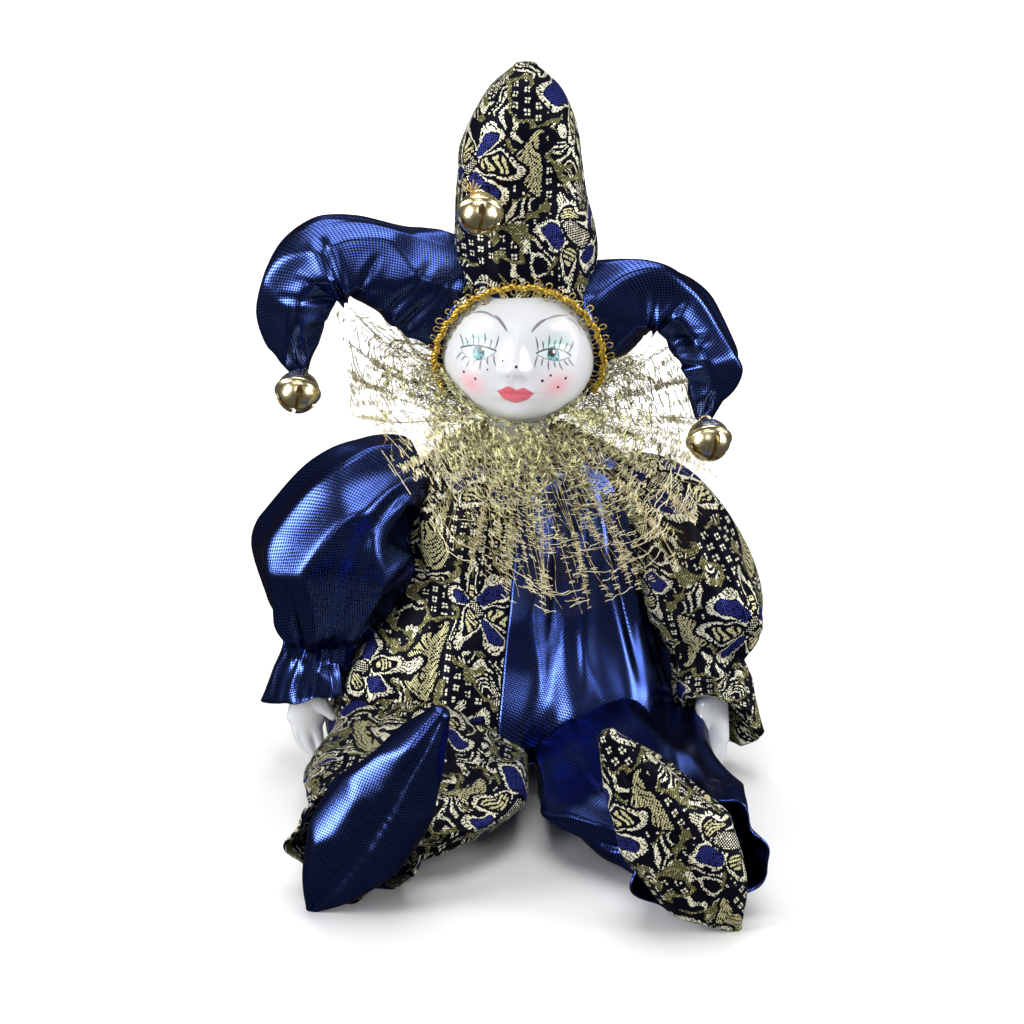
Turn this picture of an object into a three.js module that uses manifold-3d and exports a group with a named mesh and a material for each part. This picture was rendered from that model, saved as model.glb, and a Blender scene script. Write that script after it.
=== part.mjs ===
// A seated clown doll: a glazed porcelain head and hands, a stuffed cloth body in a two-colour
// jester suit, a horned cap with three jingle bells, and a gathered net ruff.
// Millimetres, +Z up. The doll faces -Y and sits on z = 0, with the origin under its seat.
// "Left" and "right" are the viewer's, facing the doll.

import * as THREE from "three";
import { mergeVertices } from "three/addons/utils/BufferGeometryUtils.js";
import Module from "manifold-3d";

const wasm = await Module();
wasm.setup();

// Driving dimensions
const GAP = 0.35; // air between two pieces that touch
const SEAM_X = -4; // where the two halves of the jacket meet, at SEAM_Z
const SEAM_Z = 60;
const SEAM_TILT = THREE.MathUtils.degToRad(6); // the seam leans to the left going down
const CROTCH_X = 5; // where the two halves of the trousers meet
const HEAD_CENTRE = new THREE.Vector3(-0.4, -4, 149);
const HEAD_RADIUS = { across: 26.4, deep: 25.5, above: 31, below: 25.6 };
const HEAD_TURN = { pitch: -0.12, yaw: -0.05, roll: 0.045 };
const HEAD_FACETS = { columns: 24, rows: 15 };
const HOOD_FACETS = { columns: 16, rows: 9 };
const NECK_RADIUS = 10;
const HOOD_ROOM = 1.5; // the cap's lining stands this far off the head
const HOOD_WALL = 1.4;
const PANEL_X = 21; // the cap's front and back panel reaches this far to each side
const BRAID_REACH = THREE.MathUtils.degToRad(118); // down each side from over the forehead
const BRAID_SECTION = { halfWidth: 1.5, halfThickness: 0.9, ahead: 1.3 };
const BELL_RADIUS = 7.3;
const BELL_WALL = 0.6;
const RIDGE = 0.55; // how far a bell's ridge stands out
const LOOP_RADIUS = 1.5;
const LOOP_HEIGHT = BELL_RADIUS + 0.6 * LOOP_RADIUS;
const SLIT_WIDTH = 1.3;
const RUFF_THICKNESS = 1.3;
const FRILL_WALL = 1.3;
const WRIST_AT = 0.75; // where a sleeve is gathered, as a share of its length
const SLEEVE_MOUTH = 0.8; // and where its frill's hollow starts
const ANKLE_AT = 0.84; // the same for a trouser leg
const CUFF_MOUTH = 0.91;
const ANKLE_SHARE = 0.36; // how far up the shoe its ankle joins it
const FAR = 400; // larger than the doll, for blocks that only cut

const FORWARD = new THREE.Vector3(0, -1, 0);
const UP = new THREE.Vector3(0, 0, 1);

// Colours
const material = (color, roughness, metalness) =>
  new THREE.MeshStandardMaterial({ color, roughness, metalness });
const PORCELAIN = material(0xf2f2f4, 0.12, 0);
const SATIN = material(0x14206b, 0.38, 0.6);
const BROCADE = material(0x6f6a46, 0.55, 0.35);
const BRASS = material(0xd9b25a, 0.16, 1);
const BRAID = material(0xd8a62a, 0.4, 0.7);
const NET = material(0xd3c184, 0.35, 0.8);

// The value at t, from 0 to 1, of a smooth curve through evenly spaced values.
function through(values, t) {
  const last = values.length - 1;
  const place = Math.min(Math.max(t, 0), 1) * last;
  const i = Math.min(Math.floor(place), last - 1);
  const f = place - i;
  const [a, b, c, d] = [-1, 0, 1, 2].map(
    (k) => values[Math.min(Math.max(i + k, 0), last)],
  );
  return b + 0.5 * f * (c - a + f * (2 * a - 5 * b + 4 * c - d + f * (3 * (b - c) + d - a)));
}

// A round hill of height 1 at the middle.
const hill = (distance, spread) => Math.exp(-0.5 * (distance / spread) ** 2);

// Evenly spaced numbers from a to b.
const steps = (a, b, count) =>
  Array.from({ length: count }, (_, i) => a + ((b - a) * i) / (count - 1));

// Solids
function solid(geometry) {
  const bare = new THREE.BufferGeometry();
  bare.setAttribute("position", geometry.getAttribute("position").clone());
  if (geometry.index) bare.setIndex(geometry.index.clone());
  const merged = mergeVertices(bare, 1e-4);
  return new wasm.Manifold(
    new wasm.Mesh({
      numProp: 3,
      vertProperties: merged.attributes.position.array,
      triVerts: new Uint32Array(merged.index.array),
    }),
  );
}

function geometryOf(shape) {
  const mesh = shape.getMesh();
  const place = new Float32Array(mesh.numVert * 3);
  for (let i = 0; i < mesh.numVert; i++)
    place.set(mesh.vertProperties.subarray(i * mesh.numProp, i * mesh.numProp + 3), i * 3);
  const geometry = new THREE.BufferGeometry();
  geometry.setAttribute("position", new THREE.BufferAttribute(place, 3));
  geometry.setIndex(new THREE.BufferAttribute(mesh.triVerts, 1));
  return geometry;
}

// A cut can leave crumbs; the piece is its largest body.
function largest(shape) {
  return shape.decompose().reduce((best, body) => (body.volume() > best.volume() ? body : best));
}

const union = (...shapes) => shapes.reduce((all, shape) => all.add(shape));
const without = (shape, ...cutters) =>
  largest(cutters.reduce((rest, cutter) => rest.subtract(cutter), shape));

// A block that fills everything beyond a point in a direction.
function block(point, direction) {
  const turn = new THREE.Quaternion().setFromUnitVectors(UP, direction.clone().normalize());
  const box = new THREE.BoxGeometry(FAR, FAR, FAR).translate(0, 0, FAR / 2);
  box.applyQuaternion(turn).translate(point.x, point.y, point.z);
  return solid(box);
}

const FLOOR = block(new THREE.Vector3(0, 0, 0), UP.clone().negate());

// A closed skin over a row of rings, ending in a point at each end.
function skin(start, rings, end) {
  const sides = rings[0].length;
  const points = [start, ...rings.flat(), end];
  const tip = points.length - 1;
  const at = (ring, k) => 1 + ring * sides + (k % sides);
  const faces = [];
  for (let k = 0; k < sides; k++) {
    faces.push(0, at(0, k + 1), at(0, k));
    faces.push(tip, at(rings.length - 1, k), at(rings.length - 1, k + 1));
    for (let ring = 0; ring < rings.length - 1; ring++) {
      faces.push(at(ring, k), at(ring, k + 1), at(ring + 1, k));
      faces.push(at(ring, k + 1), at(ring + 1, k + 1), at(ring + 1, k));
    }
  }
  const volume = faces.reduce((sum, _, i) => {
    if (i % 3) return sum;
    const [a, b, c] = [points[faces[i]], points[faces[i + 1]], points[faces[i + 2]]];
    return sum + a.dot(b.clone().cross(c));
  }, 0);
  if (volume < 0) faces.reverse();
  const geometry = new THREE.BufferGeometry().setFromPoints(points);
  geometry.setIndex(faces);
  return solid(geometry);
}

// A stuffed tube round a curved spine. A station is [x, y, z, half width, half depth], and
// depth is measured along front. A ring is [t, inset]: a ring with an inset is the inside of
// an open end. grow makes the same shape larger all round, to cut room for it.
function tube({ stations, front, sides, rings, fold = () => 0 }, grow = 0) {
  const value = (k, t) => through(stations.map((s) => s[k]), t);
  const spine = (t) => new THREE.Vector3(value(0, t), value(1, t), value(2, t));
  const heading = (t) =>
    spine(Math.min(t + 0.01, 1)).sub(spine(Math.max(t - 0.01, 0))).normalize();
  const ringAt = ([t, inset]) => {
    const deep = front.clone().addScaledVector(heading(t), -front.dot(heading(t))).normalize();
    const wide = heading(t).cross(deep);
    return Array.from({ length: sides }, (_, k) => {
      const angle = (2 * Math.PI * k) / sides;
      const out = (inset ? -grow - inset : grow) + fold(t, angle);
      return spine(t)
        .addScaledVector(wide, Math.cos(angle) * Math.max(value(3, t) + out, 0.3))
        .addScaledVector(deep, Math.sin(angle) * Math.max(value(4, t) + out, 0.3));
    });
  };
  const [first, last] = [rings[0], rings[rings.length - 1]];
  const start = spine(first[0]).addScaledVector(heading(first[0]), -grow);
  const end = spine(last[0]).addScaledVector(heading(last[0]), grow);
  return skin(start, rings.map(ringAt), end);
}

// Rings of a closed tube, and of one whose far end is an open mouth, hollow as far back as depth.
const closedRings = (count, from = 0, to = 1) => steps(from, to, count).map((t) => [t, 0]);
const openRings = (count, depth) => [
  ...closedRings(count),
  ...steps(1, depth, 2).map((t) => [t, FRILL_WALL]),
];

// Head
// The face's relief in mm, by the arc across from the middle of the face and up from eye level.
function faceRelief(across, up) {
  const side = Math.abs(across);
  const bridge = 1.4 * hill(across, 2) * hill(up - 2.6, 4);
  const tip = 3 * hill(across, 2.5) * hill(up + 1.4, 2.4);
  const nostrils = 1 * hill(side - 2.9, 1.3) * hill(up + 2.6, 1.3);
  const sockets = -1.1 * hill(side - 12.6, 4.8) * hill(up - 3.4, 3.2);
  const lids = 0.8 * hill(side - 12.9, 3.6) * hill(up - 2.3, 1.9);
  const brow = 0.6 * hill(side - 11, 6) * hill(up - 10.5, 2.8);
  const cheeks = 1.3 * hill(side - 14.5, 6) * hill(up + 7, 5.5);
  const mouth = 1 * hill(across, 6.5) * hill(up + 10.5, 4);
  const upperLip = 0.8 * hill(side - 2.2, 2.3) * hill(up + 8.9, 0.9);
  const lowerLip = 0.9 * hill(across, 3.2) * hill(up + 11.9, 1);
  const parting = -0.5 * hill(across, 5) * hill(up + 10.4, 0.45);
  const underLip = -0.7 * hill(across, 4) * hill(up + 14.6, 1.5);
  const chin = 1.4 * hill(across, 5) * hill(up + 19.5, 3.2);
  const features = [
    bridge, tip, nostrils, sockets, lids, brow, cheeks, mouth, upperLip, lowerLip, parting,
    underLip, chin,
  ];
  return features.reduce((sum, feature) => sum + feature, 0);
}

const headPose = new THREE.Matrix4()
  .makeRotationFromEuler(
    new THREE.Euler(HEAD_TURN.pitch, HEAD_TURN.roll, HEAD_TURN.yaw, "ZYX"),
  )
  .setPosition(HEAD_CENTRE);

// A head-shaped solid, larger all round by grow, with or without its features.
function headShape({ columns, rows }, grow, featured) {
  const { across, deep, above, below } = HEAD_RADIUS;
  const place = (longitude, latitude) => {
    const tall = latitude > 0 ? above : below;
    const level = Math.cos(latitude);
    const lift = featured ? faceRelief(longitude * deep, latitude * below) : 0;
    return new THREE.Vector3(
      Math.sin(longitude) * level * (across + grow + lift),
      -Math.cos(longitude) * level * (deep + grow + lift),
      Math.sin(latitude) * (tall + grow + lift),
    ).applyMatrix4(headPose);
  };
  // With features, columns lie closer together over the face than over the back of the head.
  const crowding = featured ? 0.62 : 0;
  const longitudes = Array.from({ length: columns }, (_, k) => {
    const angle = (2 * Math.PI * k) / columns;
    const crowded = angle - crowding * Math.sin(angle);
    return crowded > Math.PI ? crowded - 2 * Math.PI : crowded;
  });
  const latitudes = steps(-Math.PI / 2, Math.PI / 2, rows + 2).slice(1, -1);
  const rings = latitudes.map((latitude) => longitudes.map((l) => place(l, latitude)));
  return skin(place(0, -Math.PI / 2), rings, place(0, Math.PI / 2));
}

const NECK = {
  stations: [
    [0, 0, 104, NECK_RADIUS + 2, NECK_RADIUS + 2],
    [0, 0, 110, NECK_RADIUS + 1, NECK_RADIUS + 1],
    [0, -1, 118, NECK_RADIUS, NECK_RADIUS],
    [0, -2, 134, NECK_RADIUS, NECK_RADIUS],
  ],
  front: FORWARD,
  sides: 14,
  rings: closedRings(4),
};

const headAndNeck = (grow) => union(headShape(HEAD_FACETS, grow, true), tube(NECK, grow));

// Cap
const CROWN = {
  stations: [
    [1.4, 0, 163, 22.2, 19],
    [1.4, 1, 174, 23.6, 21.4],
    [1.3, 2, 186, 23.7, 21.4],
    [0.8, 3, 198, 22.8, 20.4],
    [0.8, 3, 209, 21.8, 19.2],
    [1, 3, 219, 19.9, 17.6],
    [1.3, 3, 229, 16.6, 15],
    [1.6, 3, 238, 11.6, 11],
    [1.6, 3, 244.5, 4.5, 4.5],
  ],
  front: FORWARD,
  sides: 18,
  rings: closedRings(10),
  // Soft dents where the stuffing has slumped, and a pinch beside the front bell.
  fold: (t, angle) =>
    0.55 * Math.sin(3 * angle + 9 * t) * Math.sin(Math.PI * t) -
    1.6 * hill(t - 0.5, 0.05) * hill(angle - 1.35, 0.9),
};

// The cap's edge round the face lies in one slanting plane.
const OPENING_POINT = new THREE.Vector3(0, -20, 177);
const OPENING_FACING = new THREE.Vector3(0, -0.955, -0.297);
const NAPE_Z = 132;

const lining = headShape(HOOD_FACETS, HOOD_ROOM, false);
const hood = (grow) => headShape(HOOD_FACETS, HOOD_ROOM + HOOD_WALL + grow, false);
const slab = (halfWidth) => solid(new THREE.BoxGeometry(2 * halfWidth, FAR, FAR));
const crownSolid = (grow) => union(tube(CROWN, grow), hood(grow).intersect(slab(PANEL_X + grow)));

const HORN_FOLD = (phase) => (t, angle) =>
  // Creases across the hollow of the bend, and a seam along the outside of it.
  -1.5 * hill(Math.cos(angle) + 1, 0.7) * (0.5 + 0.5 * Math.cos(34 * t + phase)) *
    hill(t - 0.45, 0.28) -
  0.5 * hill(Math.cos(angle) - 1, 0.03) * Math.sin(Math.PI * t);

const HORN_LEFT = {
  stations: [
    [-16, 0, 160, 17, 13],
    [-27, 0, 167, 17.6, 14],
    [-41, 0, 174, 15.4, 14],
    [-57, 0, 180, 14, 13],
    [-71, -1, 175.5, 14, 12.5],
    [-77, -3, 161, 11.4, 10.5],
    [-76.2, -5, 149, 7.6, 7.5],
    [-74.6, -6.5, 140.5, 3, 3],
  ],
  front: FORWARD,
  sides: 12,
  rings: closedRings(12),
  fold: HORN_FOLD(0.4),
};

const HORN_RIGHT = {
  stations: [
    [16, 0, 156, 17, 13],
    [27, 0, 161, 17.4, 14],
    [40.4, 0, 166, 13.9, 13],
    [52.8, -1, 163, 10.4, 10.5],
    [61.3, -4, 151.5, 9.2, 9.5],
    [64.8, -7, 140.5, 9, 8.5],
    [63.4, -9.5, 132.5, 6, 6],
    [61.8, -11.5, 126.5, 3, 3],
  ],
  front: FORWARD,
  sides: 12,
  rings: closedRings(12),
  fold: (t, angle) => HORN_FOLD(1.9)(t, Math.PI - angle),
};

// The braid follows the cap's edge: angle 0 is over the forehead.
function openingEdge(angle, grow) {
  const along = new THREE.Vector3(0, OPENING_FACING.z, -OPENING_FACING.y);
  const centre = OPENING_POINT.clone().addScaledVector(along, -HEAD_RADIUS.above);
  const direction = along.clone().multiplyScalar(Math.cos(angle));
  direction.x += Math.sin(angle);
  const inHead = headPose.clone().invert();
  const { across, deep, above, below } = HEAD_RADIUS;
  const outside = (reach) => {
    const p = centre.clone().addScaledVector(direction, reach).applyMatrix4(inHead);
    const tall = p.z > 0 ? above : below;
    return Math.hypot(p.x / (across + grow), p.y / (deep + grow), p.z / (tall + grow)) > 1;
  };
  let [near, far] = [0, 2 * HEAD_RADIUS.above];
  for (let i = 0; i < 30; i++) {
    const half = (near + far) / 2;
    if (outside(half)) far = half;
    else near = half;
  }
  return centre.addScaledVector(direction, near);
}

function braid() {
  const { halfWidth, halfThickness, ahead } = BRAID_SECTION;
  const stations = steps(-BRAID_REACH, BRAID_REACH, 17).map((angle) => {
    const edge = openingEdge(angle, HOOD_ROOM + HOOD_WALL);
    return [...edge.addScaledVector(OPENING_FACING, ahead), halfWidth, halfThickness];
  });
  return tube({ stations, front: OPENING_FACING, sides: 5, rings: closedRings(27) });
}

// Bells
// A pressed brass ball with a ridge round its middle, a cross of slits below and a loop above.
function bell() {
  const arc = (from, to, count, radius) =>
    steps(from, to, count).map(
      (a) => new THREE.Vector2(Math.cos(a) * radius, Math.sin(a) * radius),
    );
  const quarter = Math.PI / 2;
  const outline = [
    ...arc(-quarter, -0.12, 4, BELL_RADIUS),
    new THREE.Vector2(BELL_RADIUS + RIDGE, -RIDGE),
    new THREE.Vector2(BELL_RADIUS + RIDGE, RIDGE),
    ...arc(0.12, quarter, 4, BELL_RADIUS),
  ];
  outline[0].x = 0;
  outline[outline.length - 1].x = 0;
  const shell = new THREE.LatheGeometry(outline, 10).rotateX(quarter);
  const inside = new THREE.SphereGeometry(BELL_RADIUS - BELL_WALL, 8, 5);
  const slit = (turn) =>
    solid(
      new THREE.BoxGeometry(4 * BELL_RADIUS, SLIT_WIDTH, BELL_RADIUS)
        .translate(0, 0, -0.85 * BELL_RADIUS)
        .rotateZ(turn),
    );
  const loop = new THREE.TorusGeometry(LOOP_RADIUS, 0.45, 3, 6)
    .rotateX(quarter)
    .translate(0, 0, LOOP_HEIGHT);
  return union(solid(shell), solid(loop)).subtract(
    union(solid(inside), slit(0.25), slit(0.25 + quarter)),
  );
}

// Each bell hangs with its slits tipped forward.
const BELLS = {
  bell_left: {
    place: new THREE.Vector3(-74.6, -17, 137.6),
    tilt: new THREE.Euler(-1, 0.1, 0),
  },
  bell_right: {
    place: new THREE.Vector3(63.4, -22.5, 122.4),
    tilt: new THREE.Euler(-1, -0.1, 0.1),
  },
  bell_front: {
    place: new THREE.Vector3(-13.3, -20.8, 201.3),
    tilt: new THREE.Euler(-1.05, 0, -0.1),
  },
};

// The room that a bell and its loop need in the cloth they are sewn to.
function bellRoom({ place, tilt }) {
  const ball = new THREE.SphereGeometry(BELL_RADIUS + RIDGE + GAP, 12, 8);
  const knob = new THREE.SphereGeometry(LOOP_RADIUS + 1, 8, 6);
  knob.translate(0, 0, LOOP_HEIGHT);
  const turn = new THREE.Matrix4().makeRotationFromEuler(tilt).setPosition(place);
  return union(solid(ball.applyMatrix4(turn)), solid(knob.applyMatrix4(turn)));
}

// Ruff
// The free edge of the gathered net, by turn: from the front, to the right, round the back.
const RUFF_EDGE = [
  [8, -43, 68],
  [44, -38, 74.5],
  [68, -20, 102],
  [61, 5, 138],
  [36, 28, 147],
  [0, 38, 147],
  [-38, 30, 152],
  [-62, 13, 151],
  [-53, -14, 124],
  [-22, -36, 84],
];
const RUFF_NECK = { x: 0, y: -3, z: 124.5, radius: 13 };
const RUFF_WAVES = 9;
const RUFF_BOW = { out: 7, up: -1, tilt: 7 }; // how the net bows between the neck and its edge
const RUFF_COLUMNS = 42;

// A point of the ruff: turn from 0 at the front to 1, out from 0 at the neck to 1 at the edge,
// and lift, in mm, off the middle of the net.
function ruffPoint(turn, out, lift) {
  const angle = 2 * Math.PI * turn;
  const ring = [...RUFF_EDGE, ...RUFF_EDGE, ...RUFF_EDGE];
  const edge = [0, 1, 2].map((k) =>
    through(ring.map((p) => p[k]), (turn + 1) * (RUFF_EDGE.length / (ring.length - 1))),
  );
  const neck = new THREE.Vector3(
    RUFF_NECK.x + RUFF_NECK.radius * Math.sin(angle),
    RUFF_NECK.y - RUFF_NECK.radius * Math.cos(angle),
    RUFF_NECK.z,
  );
  const far = new THREE.Vector3(...edge);
  const bow = neck.clone().lerp(far, 0.5);
  const outward = new THREE.Vector3(Math.sin(angle), -Math.cos(angle), 0);
  bow.addScaledVector(outward, RUFF_BOW.out);
  bow.addScaledVector(UP, RUFF_BOW.up + RUFF_BOW.tilt * Math.cos(angle));
  const place = neck
    .multiplyScalar((1 - out) ** 2)
    .addScaledVector(bow, 2 * out * (1 - out))
    .addScaledVector(far, out ** 2);
  const wave = Math.sin(RUFF_WAVES * angle + 0.8) + 0.4 * Math.sin(2 * RUFF_WAVES * angle);
  const normal = new THREE.Vector3(0.35 * outward.x, 0.35 * outward.y, 0.9).lerp(
    outward,
    0.5 + 0.5 * Math.cos(angle),
  );
  return place.addScaledVector(normal.normalize(), (0.5 + 3.2 * out) * wave * 0.7 + lift);
}

function ruff() {
  const outs = [0, 0.4, 0.75, 1];
  const half = RUFF_THICKNESS / 2;
  // Each turn's outline runs out along the top of the net and back along its underside.
  const outline = [...outs.map((o) => [o, half]), ...outs.toReversed().map((o) => [o, -half])];
  const points = [];
  const faces = [];
  for (let column = 0; column < RUFF_COLUMNS; column++)
    for (const [out, lift] of outline) points.push(ruffPoint(column / RUFF_COLUMNS, out, lift));
  const at = (column, k) => (column % RUFF_COLUMNS) * outline.length + (k % outline.length);
  for (let column = 0; column < RUFF_COLUMNS; column++)
    for (let k = 0; k < outline.length; k++) {
      faces.push(at(column, k), at(column + 1, k), at(column, k + 1));
      faces.push(at(column + 1, k), at(column + 1, k + 1), at(column, k + 1));
    }
  const geometry = new THREE.BufferGeometry().setFromPoints(points);
  geometry.setIndex(faces);
  const shape = solid(geometry);
  if (shape.volume() > 0) return shape;
  geometry.setIndex(faces.toReversed());
  return solid(geometry);
}

// Jacket
const JACKET = {
  stations: [
    [-2, -4, 13, 65, 37],
    [-2, -4, 23, 63, 37],
    [-1, -2, 40, 55, 32],
    [0, 0, 58, 47, 28],
    [0, 1, 76, 40, 25],
    [0, 2, 92, 37, 22.5],
    [0, 2, 104, 33, 19.5],
    [0, 1, 112, 24, 16],
    [0, 0, 119, 14, 13],
  ],
  front: FORWARD,
  sides: 30,
  rings: closedRings(9),
  // Folds that deepen towards the hem.
  fold: (t, angle) =>
    (1 - t) ** 1.4 * (2.2 * Math.cos(7 * angle + 0.6) + 1.3 * Math.cos(11 * angle + 2 + 2 * t)),
};

const seamSide = (direction) =>
  block(
    new THREE.Vector3(SEAM_X - (direction * GAP) / 2, 0, SEAM_Z),
    new THREE.Vector3(direction * Math.cos(SEAM_TILT), 0, -direction * Math.sin(SEAM_TILT)),
  );

// Sleeves: a puff, gathered on elastic at the wrist into a frill.
const gathers = (count, from, phase) => (t, angle) =>
  1.1 * hill(t - from, 0.1) * Math.cos(count * angle + phase) +
  (t > from ? 1.6 * ((t - from) / (1 - from)) * Math.cos(5 * angle + phase) : 0);

const SLEEVE_LEFT = {
  stations: [
    [-34, 2, 103, 11, 10],
    [-45, 0, 98.5, 17, 15],
    [-56, -3, 89, 23.5, 20],
    [-62, -6, 76, 29, 24],
    [-65.5, -8, 64, 27, 22.5],
    [-69, -10, 52, 18.5, 17],
    [-70.4, -10.5, 42.5, 10.5, 10],
    [-72, -11.5, 32, 13, 12],
    [-73.5, -12.5, 20.5, 14.5, 13],
  ],
  front: FORWARD,
  sides: 15,
  rings: openRings(11, SLEEVE_MOUTH),
  fold: (t, angle) =>
    gathers(8, WRIST_AT, 0.3)(t, angle) + 1.2 * Math.sin(Math.PI * t) ** 2 * Math.cos(3 * angle + 5 * t),
};

const SLEEVE_RIGHT = {
  stations: [
    [34, 2, 99, 11, 10],
    [45, 0, 93, 15, 13],
    [54, -4, 82, 17.5, 16],
    [60.5, -8, 69, 19.5, 18],
    [64.5, -12, 56.5, 20, 18],
    [65.5, -15, 47.5, 16.5, 15],
    [65.6, -18, 39.5, 11.5, 10.5],
    [67, -21, 30, 12.5, 12],
    [69.5, -24, 18.5, 13, 12.5],
  ],
  front: FORWARD,
  sides: 15,
  rings: openRings(11, SLEEVE_MOUTH),
  fold: (t, angle) =>
    gathers(7, WRIST_AT, 1.3)(t, angle) + 1.4 * Math.sin(Math.PI * t) * Math.cos(4 * angle - 6 * t),
};

// Trousers: each half is a seat, a thigh and a leg, gathered at the ankle into a frill.
const legFold = (phase) => (t, angle) =>
  1.2 * Math.sin(Math.PI * t) * Math.cos(5 * angle + 4 * t + phase) +
  gathers(8, ANKLE_AT, phase)(t, angle);

const TROUSER_LEFT = {
  stations: [
    [-33, 34, 9, 16, 8],
    [-33, 24, 9.5, 28, 17],
    [-31.5, 10, 9.5, 36, 25],
    [-30.5, -6, 9.5, 37, 25],
    [-32, -28, 12, 35, 18.5],
    [-35, -52, 13, 38, 14.5],
    [-38, -70, 13, 37, 13.5],
    [-44, -86, 14, 29, 13.5],
    [-51, -100, 15.5, 18, 12.5],
    [-53, -117, 19.5, 21, 18.5],
  ],
  front: UP,
  sides: 15,
  rings: openRings(13, CUFF_MOUTH),
  fold: legFold(0.5),
};

const TROUSER_RIGHT = {
  stations: [
    [31, 34, 9, 16, 8],
    [31, 24, 9.5, 27, 17],
    [30, 10, 9.5, 31, 25],
    [29.5, -6, 9.5, 31, 25],
    [31, -28, 12, 30, 18.5],
    [37, -54, 13, 31, 14.5],
    [43.5, -80, 13.5, 31.5, 13.5],
    [50, -98, 14.5, 25.5, 13.5],
    [54, -112, 16, 18, 12.5],
    [57, -130, 20.5, 22, 20],
  ],
  front: UP,
  sides: 15,
  rings: openRings(13, CUFF_MOUTH),
  fold: legFold(2.1),
};

// Shoes: a stuffed leaf from heel to toe, creased along its middle, on a stuffed ankle.
const SHOE_LEFT = { heel: [-68, -126, -0.5], toe: [-25, -125, 69.5], ankle: [-52, -102, 18] };
const SHOE_RIGHT = { heel: [69.5, -139, -0.5], toe: [27, -140, 68.5], ankle: [55, -115, 19] };

function shoe({ heel, toe, ankle }) {
  const spine = (share) => heel.map((h, k) => h + (toe[k] - h) * share);
  const leaf = (share, wide, deep) => [...spine(share), wide, deep];
  const stations = [
    leaf(0, 1, 1),
    leaf(0.14, 10, 7.5),
    leaf(0.29, 15.6, 10.5),
    leaf(0.43, 17, 12),
    leaf(0.57, 15.6, 11.5),
    leaf(0.71, 12.2, 10),
    leaf(0.86, 8.4, 8),
    leaf(1, 3.2, 3.6),
  ];
  const body = {
    stations,
    front: FORWARD,
    sides: 14,
    rings: closedRings(8),
    fold: (t, angle) => -1.1 * hill(Math.sin(angle) - 1, 0.03) * Math.sin(Math.PI * t),
  };
  const stalk = {
    stations: [
      [...spine(ANKLE_SHARE), 9, 9],
      [...ankle.map((a, k) => (a + spine(ANKLE_SHARE)[k]) / 2), 9.5, 9],
      [...ankle, 9.5, 8.5],
    ],
    front: UP,
    sides: 7,
    rings: closedRings(2),
  };
  return union(tube(body), tube(stalk));
}

// Hands: a wrist, a palm, fingers held together and a thumb.
function hand({ wrist, palm, fingers, thumb }, grow) {
  const link = (points, sides) =>
    tube({ stations: points, front: FORWARD, sides, rings: closedRings(points.length) }, grow);
  return union(
    link([wrist, ...palm], 9),
    ...fingers.map((finger) => link([palm[1], ...finger], 5)),
    link([palm[0], ...thumb], 5),
  );
}

const HAND_LEFT = {
  wrist: [-70.6, -11, 40, 5.4, 5.4],
  palm: [
    [-73, -13, 26, 6.2, 5],
    [-74.6, -14.5, 15.5, 6.8, 3.8],
  ],
  fingers: [
    [[-77.2, -15, 10, 2.4, 2.5], [-74.8, -15.8, 4.6, 1.4, 1.4]],
    [[-74.2, -15.6, 9, 2.7, 2.7], [-71.8, -16.6, 1.8, 1.5, 1.5]],
    [[-71, -15.6, 11, 2.5, 2.5], [-69.4, -16.6, 5, 1.5, 1.5]],
  ],
  thumb: [[-68.2, -16.8, 21, 2.7, 2.7], [-65, -18.4, 18, 1.6, 1.6]],
};

const HAND_RIGHT = {
  wrist: [65.8, -19, 37, 5.2, 5.2],
  palm: [
    [66.4, -23, 24, 5.8, 4.8],
    [67, -27, 14, 5.6, 4.4],
  ],
  fingers: [
    [[68.4, -29, 8, 2.7, 2.7], [67.4, -30.4, 2.2, 1.4, 1.4]],
    [[65.6, -30.6, 8, 2.7, 2.7], [65.8, -31.6, 1.6, 1.4, 1.4]],
  ],
  thumb: [[63.4, -27.6, 20.6, 2.9, 2.9], [62.9, -29, 15.4, 1.8, 1.8]],
};

// The doll
function piece(name, shape, look) {
  const mesh = new THREE.Mesh(geometryOf(shape), look);
  mesh.name = name;
  return mesh;
}

function group(name, ...children) {
  const made = new THREE.Group();
  made.name = name;
  made.add(...children);
  return made;
}

function cap() {
  const face = block(OPENING_POINT, OPENING_FACING).intersect(slab(2 * PANEL_X));
  const below = block(new THREE.Vector3(0, 0, NAPE_Z), UP.clone().negate());
  const inside = union(lining, tube(NECK, HOOD_ROOM));
  const crown = without(crownSolid(0), inside, face, below, bellRoom(BELLS.bell_front));
  const side = (horn, direction) => {
    const beyond = block(new THREE.Vector3(0, 0, 0), new THREE.Vector3(direction, 0, 0));
    return union(tube(horn), hood(0).subtract(below)).intersect(beyond);
  };
  const room = [crownSolid(GAP), inside, face];
  const left = without(side(HORN_LEFT, -1), ...room, bellRoom(BELLS.bell_left));
  const right = without(side(HORN_RIGHT, 1), ...room, bellRoom(BELLS.bell_right));
  return group(
    "cap",
    piece("hat_crown", crown, BROCADE),
    piece("hat_horn_left", left, SATIN),
    piece("hat_horn_right", right, SATIN),
    piece("hat_braid", braid(), BRAID),
  );
}

function bells() {
  const hang = (name) => {
    const mesh = piece(name, bell(), BRASS);
    mesh.position.copy(BELLS[name].place);
    mesh.rotation.copy(BELLS[name].tilt);
    return mesh;
  };
  return group("bells", ...Object.keys(BELLS).map(hang));
}

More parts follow.
